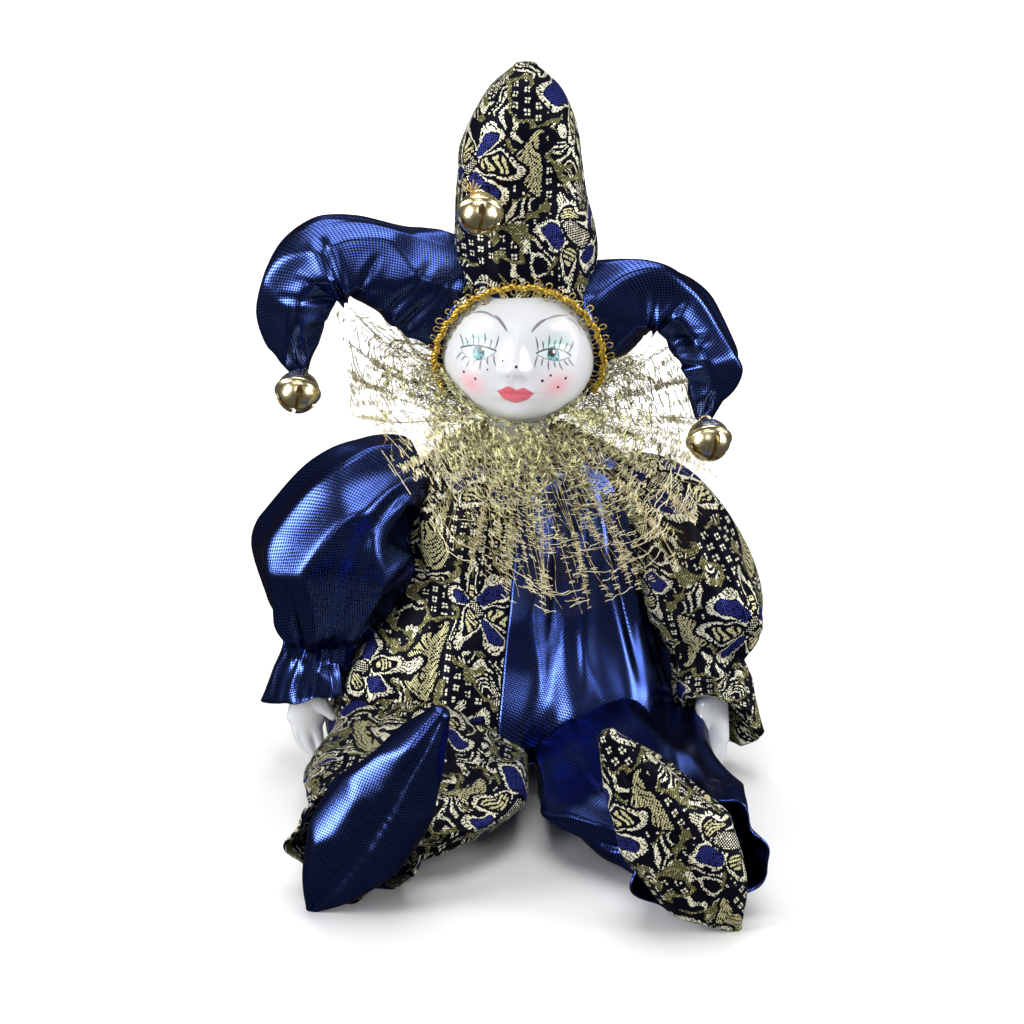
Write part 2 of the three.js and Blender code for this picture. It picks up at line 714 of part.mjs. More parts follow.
function suit() {
  const neck = headAndNeck(GAP);
  const legs = union(tube(TROUSER_LEFT, GAP), tube(TROUSER_RIGHT, GAP));
  const jacket = tube(JACKET);
  const jacketLeft = without(jacket, neck, legs, seamSide(1));
  const jacketRight = without(jacket, neck, legs, seamSide(-1));
  const body = tube(JACKET, GAP);
  const crotch = (direction) =>
    block(
      new THREE.Vector3(CROTCH_X - (direction * GAP) / 2, 0, 0),
      new THREE.Vector3(direction, 0, 0),
    );
  const legLeft = without(tube(TROUSER_LEFT), FLOOR, crotch(1), hand(HAND_LEFT, GAP));
  const legRight = without(tube(TROUSER_RIGHT), FLOOR, crotch(-1), hand(HAND_RIGHT, GAP));
  return group(
    "suit",
    piece("jacket_left", jacketLeft, BROCADE),
    piece("jacket_right", jacketRight, SATIN),
    piece("sleeve_left", without(tube(SLEEVE_LEFT), body, legs), SATIN),
    piece("sleeve_right", without(tube(SLEEVE_RIGHT), body, legs), BROCADE),
    piece("trouser_left", legLeft, BROCADE),
    piece("trouser_right", legRight, SATIN),
  );
}

function handsAndShoes() {
  const legs = union(tube(TROUSER_LEFT, GAP), tube(TROUSER_RIGHT, GAP));
  return group(
    "hands_and_shoes",
    piece("hand_left", without(hand(HAND_LEFT, 0), tube(SLEEVE_LEFT, GAP)), PORCELAIN),
    piece("hand_right", without(hand(HAND_RIGHT, 0), tube(SLEEVE_RIGHT, GAP)), PORCELAIN),
    piece("shoe_left", without(shoe(SHOE_LEFT), legs, FLOOR), SATIN),
    piece("shoe_right", without(shoe(SHOE_RIGHT), legs, FLOOR), BROCADE),
  );
}

function ruffPiece() {
  const clothes = union(
    tube(JACKET, GAP),
    tube(SLEEVE_LEFT, GAP),
    tube(SLEEVE_RIGHT, GAP),
    tube(HORN_LEFT, GAP),
    tube(HORN_RIGHT, GAP),
  );
  return piece("ruff", without(ruff(), clothes, headAndNeck(GAP), crownSolid(GAP)), NET);
}

const doll = group("clown_doll", cap(), bells(), suit(), handsAndShoes(), ruffPiece());
doll.add(piece("head", headAndNeck(0), PORCELAIN));

export default doll;
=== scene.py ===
# A seated clown doll: glazed porcelain head and hands, a stuffed suit of satin and brocade,
# a horned cap with jingle bells and a ruff of gathered gold net.
# Sizes are in millimetres until a mesh is made. The doll faces -Y, and "left" and "right"
# are the viewer's, facing the doll.

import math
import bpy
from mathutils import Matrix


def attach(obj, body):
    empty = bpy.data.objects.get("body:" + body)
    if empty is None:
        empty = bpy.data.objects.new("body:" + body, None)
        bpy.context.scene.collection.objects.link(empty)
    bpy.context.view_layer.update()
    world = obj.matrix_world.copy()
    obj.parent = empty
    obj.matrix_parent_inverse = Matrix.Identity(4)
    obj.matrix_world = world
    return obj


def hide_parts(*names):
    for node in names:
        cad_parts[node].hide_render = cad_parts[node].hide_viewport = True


bl_info = {
    "name": "Porcelain Clown Doll",
    "version": (1, 0, 0),
    "blender": (4, 5, 0),
    "location": "3D View > Sidebar > Clown Doll",
    "description": "Builds a seated porcelain clown doll in a satin and brocade suit",
    "category": "Add Mesh",
}

import bmesh
import bpy
import numpy as np
from mathutils import Matrix, Vector

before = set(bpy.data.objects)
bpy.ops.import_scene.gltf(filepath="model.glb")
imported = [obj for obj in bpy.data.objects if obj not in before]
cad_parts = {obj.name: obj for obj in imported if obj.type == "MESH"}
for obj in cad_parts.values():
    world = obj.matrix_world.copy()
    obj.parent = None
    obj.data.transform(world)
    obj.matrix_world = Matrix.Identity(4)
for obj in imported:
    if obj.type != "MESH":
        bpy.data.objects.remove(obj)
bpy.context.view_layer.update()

MM = 0.001
BODY = "root"
FORWARD = (0, -1, 0)
UP = (0, 0, 1)

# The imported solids' own sizes, repeated here in millimetres
HEAD_CENTRE = (-0.4, -4, 149)
HEAD_ACROSS = 26.4
HEAD_DEEP = 25.5
HEAD_ABOVE = 31
HEAD_BELOW = 25.6
HEAD_PITCH = -0.12
HEAD_YAW = -0.05
HEAD_ROLL = 0.045
CAP_OFF_HEAD = 2.9
PANEL_X = 21
OPENING_POINT = (0, -20, 177)
OPENING_FACING = (0, -0.955, -0.297)
NAPE_Z = 132
BRAID_REACH = math.radians(118)
SEAM_X = -4
SEAM_Z = 60
SEAM_TILT = math.radians(6)
CROTCH_X = 5
GAP = 0.35
BELL_RADIUS = 7.3
WRIST_AT = 0.75
ANKLE_AT = 0.84

NECK = [[0, 0, 104, 12, 12], [0, 0, 110, 11, 11], [0, -1, 118, 10, 10], [0, -2, 134, 10, 10]]
CROWN = [
    [1.4, 0, 163, 22.2, 19],
    [1.4, 1, 174, 23.6, 21.4],
    [1.3, 2, 186, 23.7, 21.4],
    [0.8, 3, 198, 22.8, 20.4],
    [0.8, 3, 209, 21.8, 19.2],
    [1, 3, 219, 19.9, 17.6],
    [1.3, 3, 229, 16.6, 15],
    [1.6, 3, 238, 11.6, 11],
    [1.6, 3, 244.5, 4.5, 4.5],
]
HORN_LEFT = [
    [-16, 0, 160, 17, 13],
    [-27, 0, 167, 17.6, 14],
    [-41, 0, 174, 15.4, 14],
    [-57, 0, 180, 14, 13],
    [-71, -1, 175.5, 14, 12.5],
    [-77, -3, 161, 11.4, 10.5],
    [-76.2, -5, 149, 7.6, 7.5],
    [-74.6, -6.5, 140.5, 3, 3],
]
HORN_RIGHT = [
    [16, 0, 156, 17, 13],
    [27, 0, 161, 17.4, 14],
    [40.4, 0, 166, 13.9, 13],
    [52.8, -1, 163, 10.4, 10.5],
    [61.3, -4, 151.5, 9.2, 9.5],
    [64.8, -7, 140.5, 9, 8.5],
    [63.4, -9.5, 132.5, 6, 6],
    [61.8, -11.5, 126.5, 3, 3],
]
JACKET = [
    [-2, -4, 13, 65, 37],
    [-2, -4, 23, 63, 37],
    [-1, -2, 40, 55, 32],
    [0, 0, 58, 47, 28],
    [0, 1, 76, 40, 25],
    [0, 2, 92, 37, 22.5],
    [0, 2, 104, 33, 19.5],
    [0, 1, 112, 24, 16],
    [0, 0, 119, 14, 13],
]
SLEEVE_LEFT = [
    [-34, 2, 103, 11, 10],
    [-45, 0, 98.5, 17, 15],
    [-56, -3, 89, 23.5, 20],
    [-62, -6, 76, 29, 24],
    [-65.5, -8, 64, 27, 22.5],
    [-69, -10, 52, 18.5, 17],
    [-70.4, -10.5, 42.5, 10.5, 10],
    [-72, -11.5, 32, 13, 12],
    [-73.5, -12.5, 20.5, 14.5, 13],
]
SLEEVE_RIGHT = [
    [34, 2, 99, 11, 10],
    [45, 0, 93, 15, 13],
    [54, -4, 82, 17.5, 16],
    [60.5, -8, 69, 19.5, 18],
    [64.5, -12, 56.5, 20, 18],
    [65.5, -15, 47.5, 16.5, 15],
    [65.6, -18, 39.5, 11.5, 10.5],
    [67, -21, 30, 12.5, 12],
    [69.5, -24, 18.5, 13, 12.5],
]
TROUSER_LEFT = [
    [-33, 34, 9, 16, 8],
    [-33, 24, 9.5, 28, 17],
    [-31.5, 10, 9.5, 36, 25],
    [-30.5, -6, 9.5, 37, 25],
    [-32, -28, 12, 35, 18.5],
    [-35, -52, 13, 38, 14.5],
    [-38, -70, 13, 37, 13.5],
    [-44, -86, 14, 29, 13.5],
    [-51, -100, 15.5, 18, 12.5],
    [-53, -117, 19.5, 21, 18.5],
]
TROUSER_RIGHT = [
    [31, 34, 9, 16, 8],
    [31, 24, 9.5, 27, 17],
    [30, 10, 9.5, 31, 25],
    [29.5, -6, 9.5, 31, 25],
    [31, -28, 12, 30, 18.5],
    [37, -54, 13, 31, 14.5],
    [43.5, -80, 13.5, 31.5, 13.5],
    [50, -98, 14.5, 25.5, 13.5],
    [54, -112, 16, 18, 12.5],
    [57, -130, 20.5, 22, 20],
]
SHOE_LEFT = {"heel": (-68, -126, -0.5), "toe": (-25, -125, 69.5), "ankle": (-52, -102, 18)}
SHOE_RIGHT = {"heel": (69.5, -139, -0.5), "toe": (27, -140, 68.5), "ankle": (55, -115, 19)}
# A shoe's half width and half depth at even steps from heel to toe
SHOE_LEAF = [(1, 1), (10, 7.5), (15.6, 10.5), (17, 12), (15.6, 11.5), (12.2, 10), (8.4, 8), (3.2, 3.6)]
BELLS = {
    "left": ((-74.6, -17, 137.6), (-1, 0.1, 0)),
    "right": ((63.4, -22.5, 122.4), (-1, -0.1, 0.1)),
    "front": ((-13.3, -20.8, 201.3), (-1.05, 0, -0.1)),
}
RUFF_EDGE = [
    [8, -43, 68],
    [44, -38, 74.5],
    [68, -20, 102],
    [61, 5, 138],
    [36, 28, 147],
    [0, 38, 147],
    [-38, 30, 152],
    [-62, 13, 151],
    [-53, -14, 124],
    [-22, -36, 84],
]
RUFF_NECK = (0, -3, 124.5)
RUFF_NECK_RADIUS = 13
RUFF_WAVES = 9


def unit(vectors):
    """The same directions, each of length 1."""
    return vectors / np.linalg.norm(vectors, axis=-1, keepdims=True)


def through(values, t):
    """The value at t, from 0 to 1, of a smooth curve through evenly spaced values."""
    values = np.asarray(values, float)
    last = len(values) - 1
    place = np.clip(np.asarray(t, float), 0, 1) * last
    i = np.minimum(place.astype(int), last - 1)
    f = (place - i)[..., None]
    a, b, c, d = (values[np.clip(i + k, 0, last)] for k in (-1, 0, 1, 2))
    return b + 0.5 * f * (c - a + f * (2 * a - 5 * b + 4 * c - d + f * (3 * (b - c) + d - a)))


def hill(distance, spread):
    """A round hill of height 1 at the middle."""
    return np.exp(-0.5 * (distance / spread) ** 2)


def lumps(points, size, seed):
    """Smooth bumps of about -1 to 1, size mm across, anywhere in space."""
    rng = np.random.default_rng(seed)
    total = np.zeros(points.shape[:-1])
    for _ in range(9):
        direction = unit(rng.normal(size=3))
        rate = 2 * math.pi / size * rng.uniform(0.6, 1.5)
        total += np.sin(points @ direction * rate + rng.uniform(0, 2 * math.pi))
    return total / 3.2


# Meshes


def add_object(name, data):
    """Puts a mesh, a light or the camera into the scene."""
    piece = bpy.data.objects.new(name, data)
    bpy.context.scene.collection.objects.link(piece)
    return piece


def built(name, work):
    """Turns a finished bmesh into an object."""
    mesh = bpy.data.meshes.new(name)
    work.to_mesh(mesh)
    work.free()
    return add_object(name, mesh)


def finish_piece(piece, material, replaces=()):
    """Gives a piece its finish in its one material slot, hangs it on the body and hides the imported
    parts it stands for.
    """
    piece.data.materials.clear()
    piece.data.materials.append(material)
    piece.data.shade_smooth()
    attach(piece, BODY)
    if replaces:
        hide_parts(*replaces)
    return piece


def solid_volume(points, faces):
    """Six times the volume inside closed faces, negative where they point inwards."""
    total = 0.0
    for face in faces:
        a = points[face[0]]
        for b, c in zip(face[1:-1], face[2:]):
            total += float(np.dot(a, np.cross(points[b], points[c])))
    return total


def arc_lengths(points, axis):
    """How far each point lies along its row or column of a grid, in mm."""
    step = np.linalg.norm(np.diff(points, axis=axis), axis=-1)
    pad = [(0, 0), (0, 0)]
    pad[axis] = (1, 0)
    return np.pad(np.cumsum(step, axis=axis), pad)


def cloth_map(rows, front):
    """Lengths in mm over a grid of points: across from the column front, and down."""
    across = arc_lengths(rows, 1)
    across -= across[:, front : front + 1]
    down = np.repeat(arc_lengths(rows, 0).mean(1, keepdims=True), rows.shape[1], axis=1)
    return np.stack([across, down], axis=-1)


def grid_quads(rows, closed):
    """The quads of a grid of points: each corner's rows and columns, and its point numbers."""
    count, sides = rows.shape[:2]
    across = sides if closed else sides - 1
    ring, side = np.meshgrid(np.arange(count - 1), np.arange(across), indexing="ij")
    corners = [(ring, side), (ring, side + 1), (ring + 1, side + 1), (ring + 1, side)]
    quads = np.stack([r * sides + s % sides for r, s in corners], axis=-1)
    return corners, quads.reshape(-1, 4).tolist()


def mapped_mesh(name, points, faces, layer, uv):
    """A mesh of points in mm, with a UV map."""
    mesh = bpy.data.meshes.new(name)
    mesh.from_pydata((points * MM).tolist(), [], faces)
    mesh.uv_layers.new(name=layer)
    mesh.uv_layers[0].data.foreach_set("uv", uv.astype(np.float32).ravel())
    return mesh


def skin(name, rows, front=0, flat=None, layer="cloth"):
    """A closed mesh over rings of points, with a pole at each end. Its UV map holds flat, or
    else real lengths in mm: across from the column front, and down from the first row."""
    count, sides = rows.shape[:2]
    poles = np.array([rows[0].mean(0), rows[-1].mean(0)])
    points = np.concatenate([rows.reshape(-1, 3), poles])
    if flat is None:
        flat = cloth_map(np.concatenate([rows, rows[:, :1]], axis=1), front)
    corners, faces = grid_quads(rows, True)
    uv = [np.stack([flat[r, s] for r, s in corners], axis=2).reshape(-1, 2)]
    for pole, row, turned in ((count * sides, 0, True), (count * sides + 1, count - 1, False)):
        for s in range(sides):
            places = (s + 1, s) if turned else (s, s + 1)
            faces.append([pole, *(row * sides + place % sides for place in places)])
            ends = [flat[row, place] for place in places]
            uv.append(np.array([ends[0] * 0.5 + ends[1] * 0.5, *ends]))
    mesh = mapped_mesh(name, points, faces, layer, np.concatenate(uv))
    if solid_volume(points, faces) < 0:
        mesh.flip_normals()
    mesh.update()
    return add_object(name, mesh)


def patch(name, rows):
    """An open mesh over a grid of points, with the same UV map as a skin."""
    flat = cloth_map(rows, rows.shape[1] // 2).reshape(-1, 2)
    quads = grid_quads(rows, False)[1]
    mesh = mapped_mesh(name, rows.reshape(-1, 3), quads, "cloth", flat[np.ravel(quads)])
    mesh.update()
    return add_object(name, mesh)


def wires(name, lines, facing=None):
    """A mesh of edges only, one open chain for each line of points in mm."""
    points = np.concatenate(lines)
    edges = []
    start = 0
    for line in lines:
        edges += [(start + k, start + k + 1) for k in range(len(line) - 1)]
        start += len(line)
    mesh = bpy.data.meshes.new(name)
    mesh.from_pydata((points * MM).tolist(), edges, [])
    if facing is not None:
        layer = mesh.attributes.new("facing", "FLOAT_VECTOR", "POINT")
        layer.data.foreach_set("vector", np.concatenate(facing).astype(np.float32).ravel())
    return add_object(name, mesh)


def applied(piece):
    """Turns a piece and its modifiers into one plain mesh."""
    bpy.context.view_layer.update()
    evaluated = piece.evaluated_get(bpy.context.evaluated_depsgraph_get())
    mesh = bpy.data.meshes.new_from_object(evaluated)
    piece.modifiers.clear()
    piece.data = mesh
    return piece


def combine(piece, other, operation):
    """Joins another closed mesh to a piece, or cuts it out."""
    modifier = piece.modifiers.new("Combine", "BOOLEAN")
    modifier.operation = operation
    modifier.solver = "EXACT"
    modifier.object = other
    applied(piece)
    bpy.data.objects.remove(other)
    return piece


DOME_RINGS = 4


class Tube:
    """A stuffed tube round a curved spine. A station is x, y, z, half width, half depth."""

    def __init__(self, stations, front):
        self.stations = np.array(stations, float)
        self.front = np.array(front, float)
        self.length = arc_lengths(self.stations[None, :, :3], 1)[0, -1]

    def frame(self, t):
        """The spine, and the unit directions along, across and deep, at each t."""
        spine, ahead, behind = (
            through(self.stations[:, :3], k)
            for k in (t, np.minimum(t + 0.01, 1), np.maximum(t - 0.01, 0))
        )
        along = unit(ahead - behind)
        deep = unit(self.front - along * (along @ self.front)[:, None])
        return spine, along, np.cross(along, deep), deep

    def rings(self, t, angle, swell, inset=0.0):
        """Rings of points at each t. Angle 0 is across, and a quarter turn is to the front."""
        spine, _, across, deep = self.frame(t)
        size = through(self.stations[:, 3:], t)
        t_grid, angle_grid = np.meshgrid(t, angle, indexing="ij")
        out = swell(t_grid, angle_grid) - inset
        wide = np.maximum(size[:, :1] + out, 0.3) * np.cos(angle_grid)
        high = np.maximum(size[:, 1:] + out, 0.3) * np.sin(angle_grid)
        return spine[:, None] + wide[..., None] * across[:, None] + high[..., None] * deep[:, None]

    def wrap(self, t, angle, radius, stretch=1.0):
        """Places on a plain tube of this length, for bumps that run round it unbroken."""
        along = t * self.length * stretch
        return np.stack([np.cos(angle) * radius, np.sin(angle) * radius, along], axis=-1)

    def dome(self, t, angle, swell, bulge):
        """Rings that close the end at t with a round dome, from the widest to the smallest."""
        ring = self.rings(np.array([t]), angle, swell)[0]
        along = self.frame(np.array([t]))[1][0] * (1 if t > 0.5 else -1)
        middle = ring.mean(0)
        steps = np.linspace(0, math.pi / 2, DOME_RINGS + 2)[1:-1]
        return np.array([
            middle + (ring - middle) * math.cos(a) + along * bulge * math.sin(a) for a in steps
        ])

    def closed(self, t, angle, swell, bulges):
        """Rings of a tube that is closed at both ends by domes that bulge by these mm."""
        start = self.dome(t[0], angle, swell, bulges[0])[::-1]
        end = self.dome(t[-1], angle, swell, bulges[1])
        return np.concatenate([start, self.rings(t, angle, swell), end])

    def frilled(self, t, angle, swell, wall, hollow, slant=(0, 0, 0)):
        """Rings of a tube whose far end is an open frill, hollow back to t = hollow. A slant of
        length, angle and offset makes the frill that much longer or shorter on one side."""
        start = self.dome(t[0], angle, swell, 1.0)[::-1]
        outside = self.rings(t, angle, swell)
        inside_t = t[t >= hollow][::-1]
        lip = self.rings(t[-1:], angle, swell, wall / 2)
        lip += self.frame(t[-1:])[1][:, None] * wall / 2
        inside = self.rings(inside_t, angle, swell, wall)
        longest, towards, offset = slant
        shift = longest * np.cos(angle - math.radians(towards)) + offset
        for rows, place in ((outside, t), (lip, t[-1:]), (inside, inside_t)):
            free = np.clip((place - hollow) / (1 - hollow), 0, 1)[:, None, None]
            rows += free * shift[:, None] * self.frame(place)[1][:, None]
        return np.concatenate([start, outside, lip, inside])


def stiff_cloth(tube, radius, stretch, size, seed):
    """Crisp cloth on a tube, as a function of place: flat facets, about size mm across, that
    meet in ridges. It runs from about -0.5 to 1."""
    t, angle = np.meshgrid(np.linspace(0, 1, 90), turns(72), indexing="ij")
    places = tube.wrap(t, angle, radius, stretch).reshape(-1, 3)
    rng = np.random.default_rng(seed)
    centres = places[:1]
    for pick in rng.integers(0, len(places), 1500):
        if np.linalg.norm(centres - places[pick], axis=1).min() > 0.85 * size:
            centres = np.concatenate([centres, places[pick : pick + 1]])
    level = rng.uniform(-0.13, 0.13, len(centres)) * size**2
    sharp = 0.8 / size

    def field(t, angle):
        points = tube.wrap(t, angle, radius, stretch)
        apart = ((points.reshape(-1, 1, 3) - centres) ** 2).sum(-1) + level
        near = apart.min(1)
        nearest = near - np.log(np.exp(-sharp * (apart - near[:, None])).sum(1)) / sharp
        return (3 * nearest / size**2 - 0.5).reshape(np.shape(t))

    return field


def crease(tube, t, angle, start, end, depth, width):
    """A pinched fold in a tube's cloth from one place to another, each a share of the length
    and an angle in degrees. It is deepest at the start and has a raised lip on both sides."""
    radius = tube.stations[:, 3:].mean()
    turn = (angle - math.radians(start[1]) + math.pi) % (2 * math.pi) - math.pi
    x, y = turn * radius, (t - start[0]) * tube.length
    far_x = math.radians(end[1] - start[1]) * radius
    far_y = (end[0] - start[0]) * tube.length
    reach = far_x**2 + far_y**2
    share = np.clip((x * far_x + y * far_y) / reach, 0, 1)
    away = np.hypot(x - share * far_x, y - share * far_y)
    fade = (1 - share) ** 0.7 * (0.35 + 0.65 * np.clip(share * 6, 0, 1))
    narrow = width * (1 - 0.5 * share)
    return depth * fade * (0.5 * hill(away - 1.9 * narrow, 0.8 * narrow) - hill(away, 0.6 * narrow))


def creases(tube, t, angle, folds):
    """All the pinched folds of a tube together."""
    return sum(crease(tube, t, angle, *fold) for fold in folds)


# Geometry Nodes


def add_node(tree, kind, **settings):
    """A new node with these settings. A setting that is no property of it names a socket."""
    node = tree.nodes.new(kind)
    for key, value in settings.items():
        if hasattr(node, key):
            setattr(node, key, value)
        else:
            node.inputs[key].default_value = value
    return node


def geometry_tree(name, inputs):
    """A new node tree with a geometry in and out, and named inputs of given socket types."""
    tree = bpy.data.node_groups.new(name, "GeometryNodeTree")
    tree.interface.new_socket("Geometry", in_out="INPUT", socket_type="NodeSocketGeometry")
    for label, kind in inputs.items():
        tree.interface.new_socket(label, in_out="INPUT", socket_type=kind)
    tree.interface.new_socket("Geometry", in_out="OUTPUT", socket_type="NodeSocketGeometry")
    return tree, tree.nodes.new("NodeGroupInput"), tree.nodes.new("NodeGroupOutput")


def end_tree(tree, inputs, outputs, geometry):
    """Realizes what a tree made, gives it its material and sends it out."""
    realize = tree.nodes.new("GeometryNodeRealizeInstances")
    finish = tree.nodes.new("GeometryNodeSetMaterial")
    tree.links.new(geometry, realize.inputs[0])
    tree.links.new(realize.outputs[0], finish.inputs["Geometry"])
    tree.links.new(inputs.outputs["Material"], finish.inputs["Material"])
    tree.links.new(finish.outputs[0], outputs.inputs[0])


def thread_tree():
    """Turns chains of edges into thread or flat strip."""
    name = "Thread along edges"
    if name in bpy.data.node_groups:
        return bpy.data.node_groups[name]
    tree, inputs, outputs = geometry_tree(name, {
        "Radius": "NodeSocketFloat",
        "Flatness": "NodeSocketFloat",
        "Sides": "NodeSocketInt",
        "Material": "NodeSocketMaterial",
    })
    curve = add_node(tree, "GeometryNodeMeshToCurve")
    circle = add_node(tree, "GeometryNodeCurvePrimitiveCircle")
    squash = add_node(tree, "GeometryNodeTransform")
    scale = add_node(tree, "ShaderNodeCombineXYZ", X=1, Z=1)
    sweep = add_node(tree, "GeometryNodeCurveToMesh", **{"Fill Caps": True})
    for start, end in (
        (inputs.outputs["Geometry"], curve.inputs["Mesh"]),
        (inputs.outputs["Sides"], circle.inputs["Resolution"]),
        (inputs.outputs["Radius"], circle.inputs["Radius"]),
        (inputs.outputs["Flatness"], scale.inputs[1]),
        (circle.outputs["Curve"], squash.inputs["Geometry"]),
        (scale.outputs[0], squash.inputs["Scale"]),
        (curve.outputs["Curve"], sweep.inputs["Curve"]),
        (squash.outputs[0], sweep.inputs["Profile Curve"]),
    ):
        tree.links.new(start, end)
    end_tree(tree, inputs, outputs, sweep.outputs[0])
    return tree


def along_tree():
    """Places copies of an item along chains of edges, facing the way the chain's own
    attribute says, each a little different in size and turn."""
    name = "Items along a path"
    if name in bpy.data.node_groups:
        return bpy.data.node_groups[name]
    tree, inputs, outputs = geometry_tree(name, {
        "Item": "NodeSocketObject",
        "Spacing": "NodeSocketFloat",
        "Size change": "NodeSocketFloat",
        "Turn": "NodeSocketFloat",
        "Seed": "NodeSocketInt",
        "Material": "NodeSocketMaterial",
    })
    curve = add_node(tree, "GeometryNodeMeshToCurve")
    resample = add_node(tree, "GeometryNodeResampleCurve", mode="LENGTH")
    item = add_node(tree, "GeometryNodeObjectInfo")
    tangent = add_node(tree, "GeometryNodeInputTangent")
    facing = add_node(tree, "GeometryNodeInputNamedAttribute", data_type="FLOAT_VECTOR", Name="facing")
    ahead = add_node(tree, "FunctionNodeAlignRotationToVector", axis="X")
    outward = add_node(tree, "FunctionNodeAlignRotationToVector", axis="Z", pivot_axis="X")
    turn = add_node(tree, "FunctionNodeRandomValue", data_type="FLOAT")
    opposite = add_node(tree, "ShaderNodeMath", operation="MULTIPLY")
    opposite.inputs[1].default_value = -1
    angles = add_node(tree, "ShaderNodeCombineXYZ")
    rotate = add_node(tree, "FunctionNodeRotateRotation", rotation_space="LOCAL")
    smallest = add_node(tree, "ShaderNodeMath", operation="SUBTRACT")
    largest = add_node(tree, "ShaderNodeMath", operation="ADD")
    smallest.inputs[0].default_value = largest.inputs[0].default_value = 1
    size = add_node(tree, "FunctionNodeRandomValue", data_type="FLOAT")
    place = add_node(tree, "GeometryNodeInstanceOnPoints")
    for start, end in (
        (inputs.outputs["Geometry"], curve.inputs["Mesh"]),
        (curve.outputs["Curve"], resample.inputs["Curve"]),
        (inputs.outputs["Spacing"], resample.inputs["Length"]),
        (inputs.outputs["Item"], item.inputs["Object"]),
        (tangent.outputs[0], ahead.inputs["Vector"]),
        (ahead.outputs[0], outward.inputs["Rotation"]),
        (facing.outputs["Attribute"], outward.inputs["Vector"]),
        (inputs.outputs["Turn"], opposite.inputs[0]),
        (opposite.outputs[0], turn.inputs[2]),
        (inputs.outputs["Turn"], turn.inputs[3]),
        (inputs.outputs["Seed"], turn.inputs["Seed"]),
        (turn.outputs[1], angles.inputs[2]),
        (outward.outputs[0], rotate.inputs["Rotation"]),
        (angles.outputs[0], rotate.inputs["Rotate By"]),
        (inputs.outputs["Size change"], smallest.inputs[1]),
        (inputs.outputs["Size change"], largest.inputs[1]),
        (smallest.outputs[0], size.inputs[2]),
        (largest.outputs[0], size.inputs[3]),
        (inputs.outputs["Seed"], size.inputs["Seed"]),
        (resample.outputs["Curve"], place.inputs["Points"]),
        (item.outputs["Geometry"], place.inputs["Instance"]),
        (rotate.outputs[0], place.inputs["Rotation"]),
        (size.outputs[1], place.inputs["Scale"]),
    ):
        tree.links.new(start, end)
    end_tree(tree, inputs, outputs, place.outputs[0])
    return tree


def run_tree(piece, tree, **values):
    """Runs a node tree on a piece with these inputs, and keeps the plain mesh it makes."""
    modifier = piece.modifiers.new(tree.name, "NODES")
    modifier.node_group = tree
    for socket in tree.interface.items_tree:
        key = socket.name.replace(" ", "_").lower()
        if socket.in_out == "INPUT" and key in values:
            modifier[socket.identifier] = values[key]
    return applied(piece)


def thread(name, lines, radius, material, flatness=1.0, sides=3):
    """Thread of a radius in mm along lines of points."""
    return run_tree(
        wires(name, lines),
        thread_tree(),
        radius=radius * MM,
        flatness=flatness,
        sides=sides,
        material=material,
    )


# Shading


def feed(slots, values):
    """Puts each value, a field or a plain number, into its socket."""
    for slot, value in zip(slots, values):
        if isinstance(value, Field):
            value.tree.links.new(value.socket, slot)
        else:
            slot.default_value = value


def math_node(operation, swapped=False):
    """A method of Field that adds one Math node."""
    def method(self, *others):
        return self.math(operation, *((*others, self) if swapped else (self, *others)))

    return method


class Field:
    """A number that varies over a surface. Sums and products of fields add Math nodes."""

    def __init__(self, socket):
        self.socket = socket
        self.tree = socket.id_data

    def math(self, operation, *values):
        node = self.tree.nodes.new("ShaderNodeMath")
        node.operation = operation
        feed(node.inputs, values)
        return Field(node.outputs[0])

    __add__, __radd__ = math_node("ADD"), math_node("ADD", swapped=True)
    __sub__, __rsub__ = math_node("SUBTRACT"), math_node("SUBTRACT", swapped=True)
    __mul__, __rmul__ = math_node("MULTIPLY"), math_node("MULTIPLY", swapped=True)
    __truediv__, __pow__ = math_node("DIVIDE"), math_node("POWER")
    __lt__, __gt__ = math_node("LESS_THAN"), math_node("GREATER_THAN")
    __abs__, most = math_node("ABSOLUTE"), math_node("MAXIMUM")
    floor, fract, sin = math_node("FLOOR"), math_node("FRACT"), math_node("SINE")

    def clamp(self):
        """No less than 0 and no more than 1."""
        return self.math("MINIMUM", self.most(0.0), 1.0)

    def step(self, low, high):
        """0 at low, 1 at high and smooth between them."""
        node = self.tree.nodes.new("ShaderNodeMapRange")
        node.interpolation_type = "SMOOTHSTEP"
        self.tree.links.new(self.socket, node.inputs["Value"])
        node.inputs["From Min"].default_value = low
        node.inputs["From Max"].default_value = high
        return Field(node.outputs["Result"])


def span(x, y):
    """The length of the vector x, y."""
    return (x * x + y * y).math("SQRT", x * x + y * y)


def bearing(y, x):
    """The angle of the vector x, y."""
    return y.math("ARCTAN2", y, x)


def surface(material, layer):
    """The two coordinates in mm that a UV map holds, as fields."""
    tree = material.node_tree
    uv = tree.nodes.new("ShaderNodeUVMap")
    uv.uv_map = layer
    parts = tree.nodes.new("ShaderNodeSeparateXYZ")
    tree.links.new(uv.outputs[0], parts.inputs[0])
    return Field(parts.outputs[0]), Field(parts.outputs[1])


def space(material):
    """The place in mm, as three fields."""
    tree = material.node_tree
    coordinate = tree.nodes.new("ShaderNodeTexCoord")
    parts = tree.nodes.new("ShaderNodeSeparateXYZ")
    tree.links.new(coordinate.outputs["Object"], parts.inputs[0])
    return tuple(Field(socket) * (1 / MM) for socket in parts.outputs)


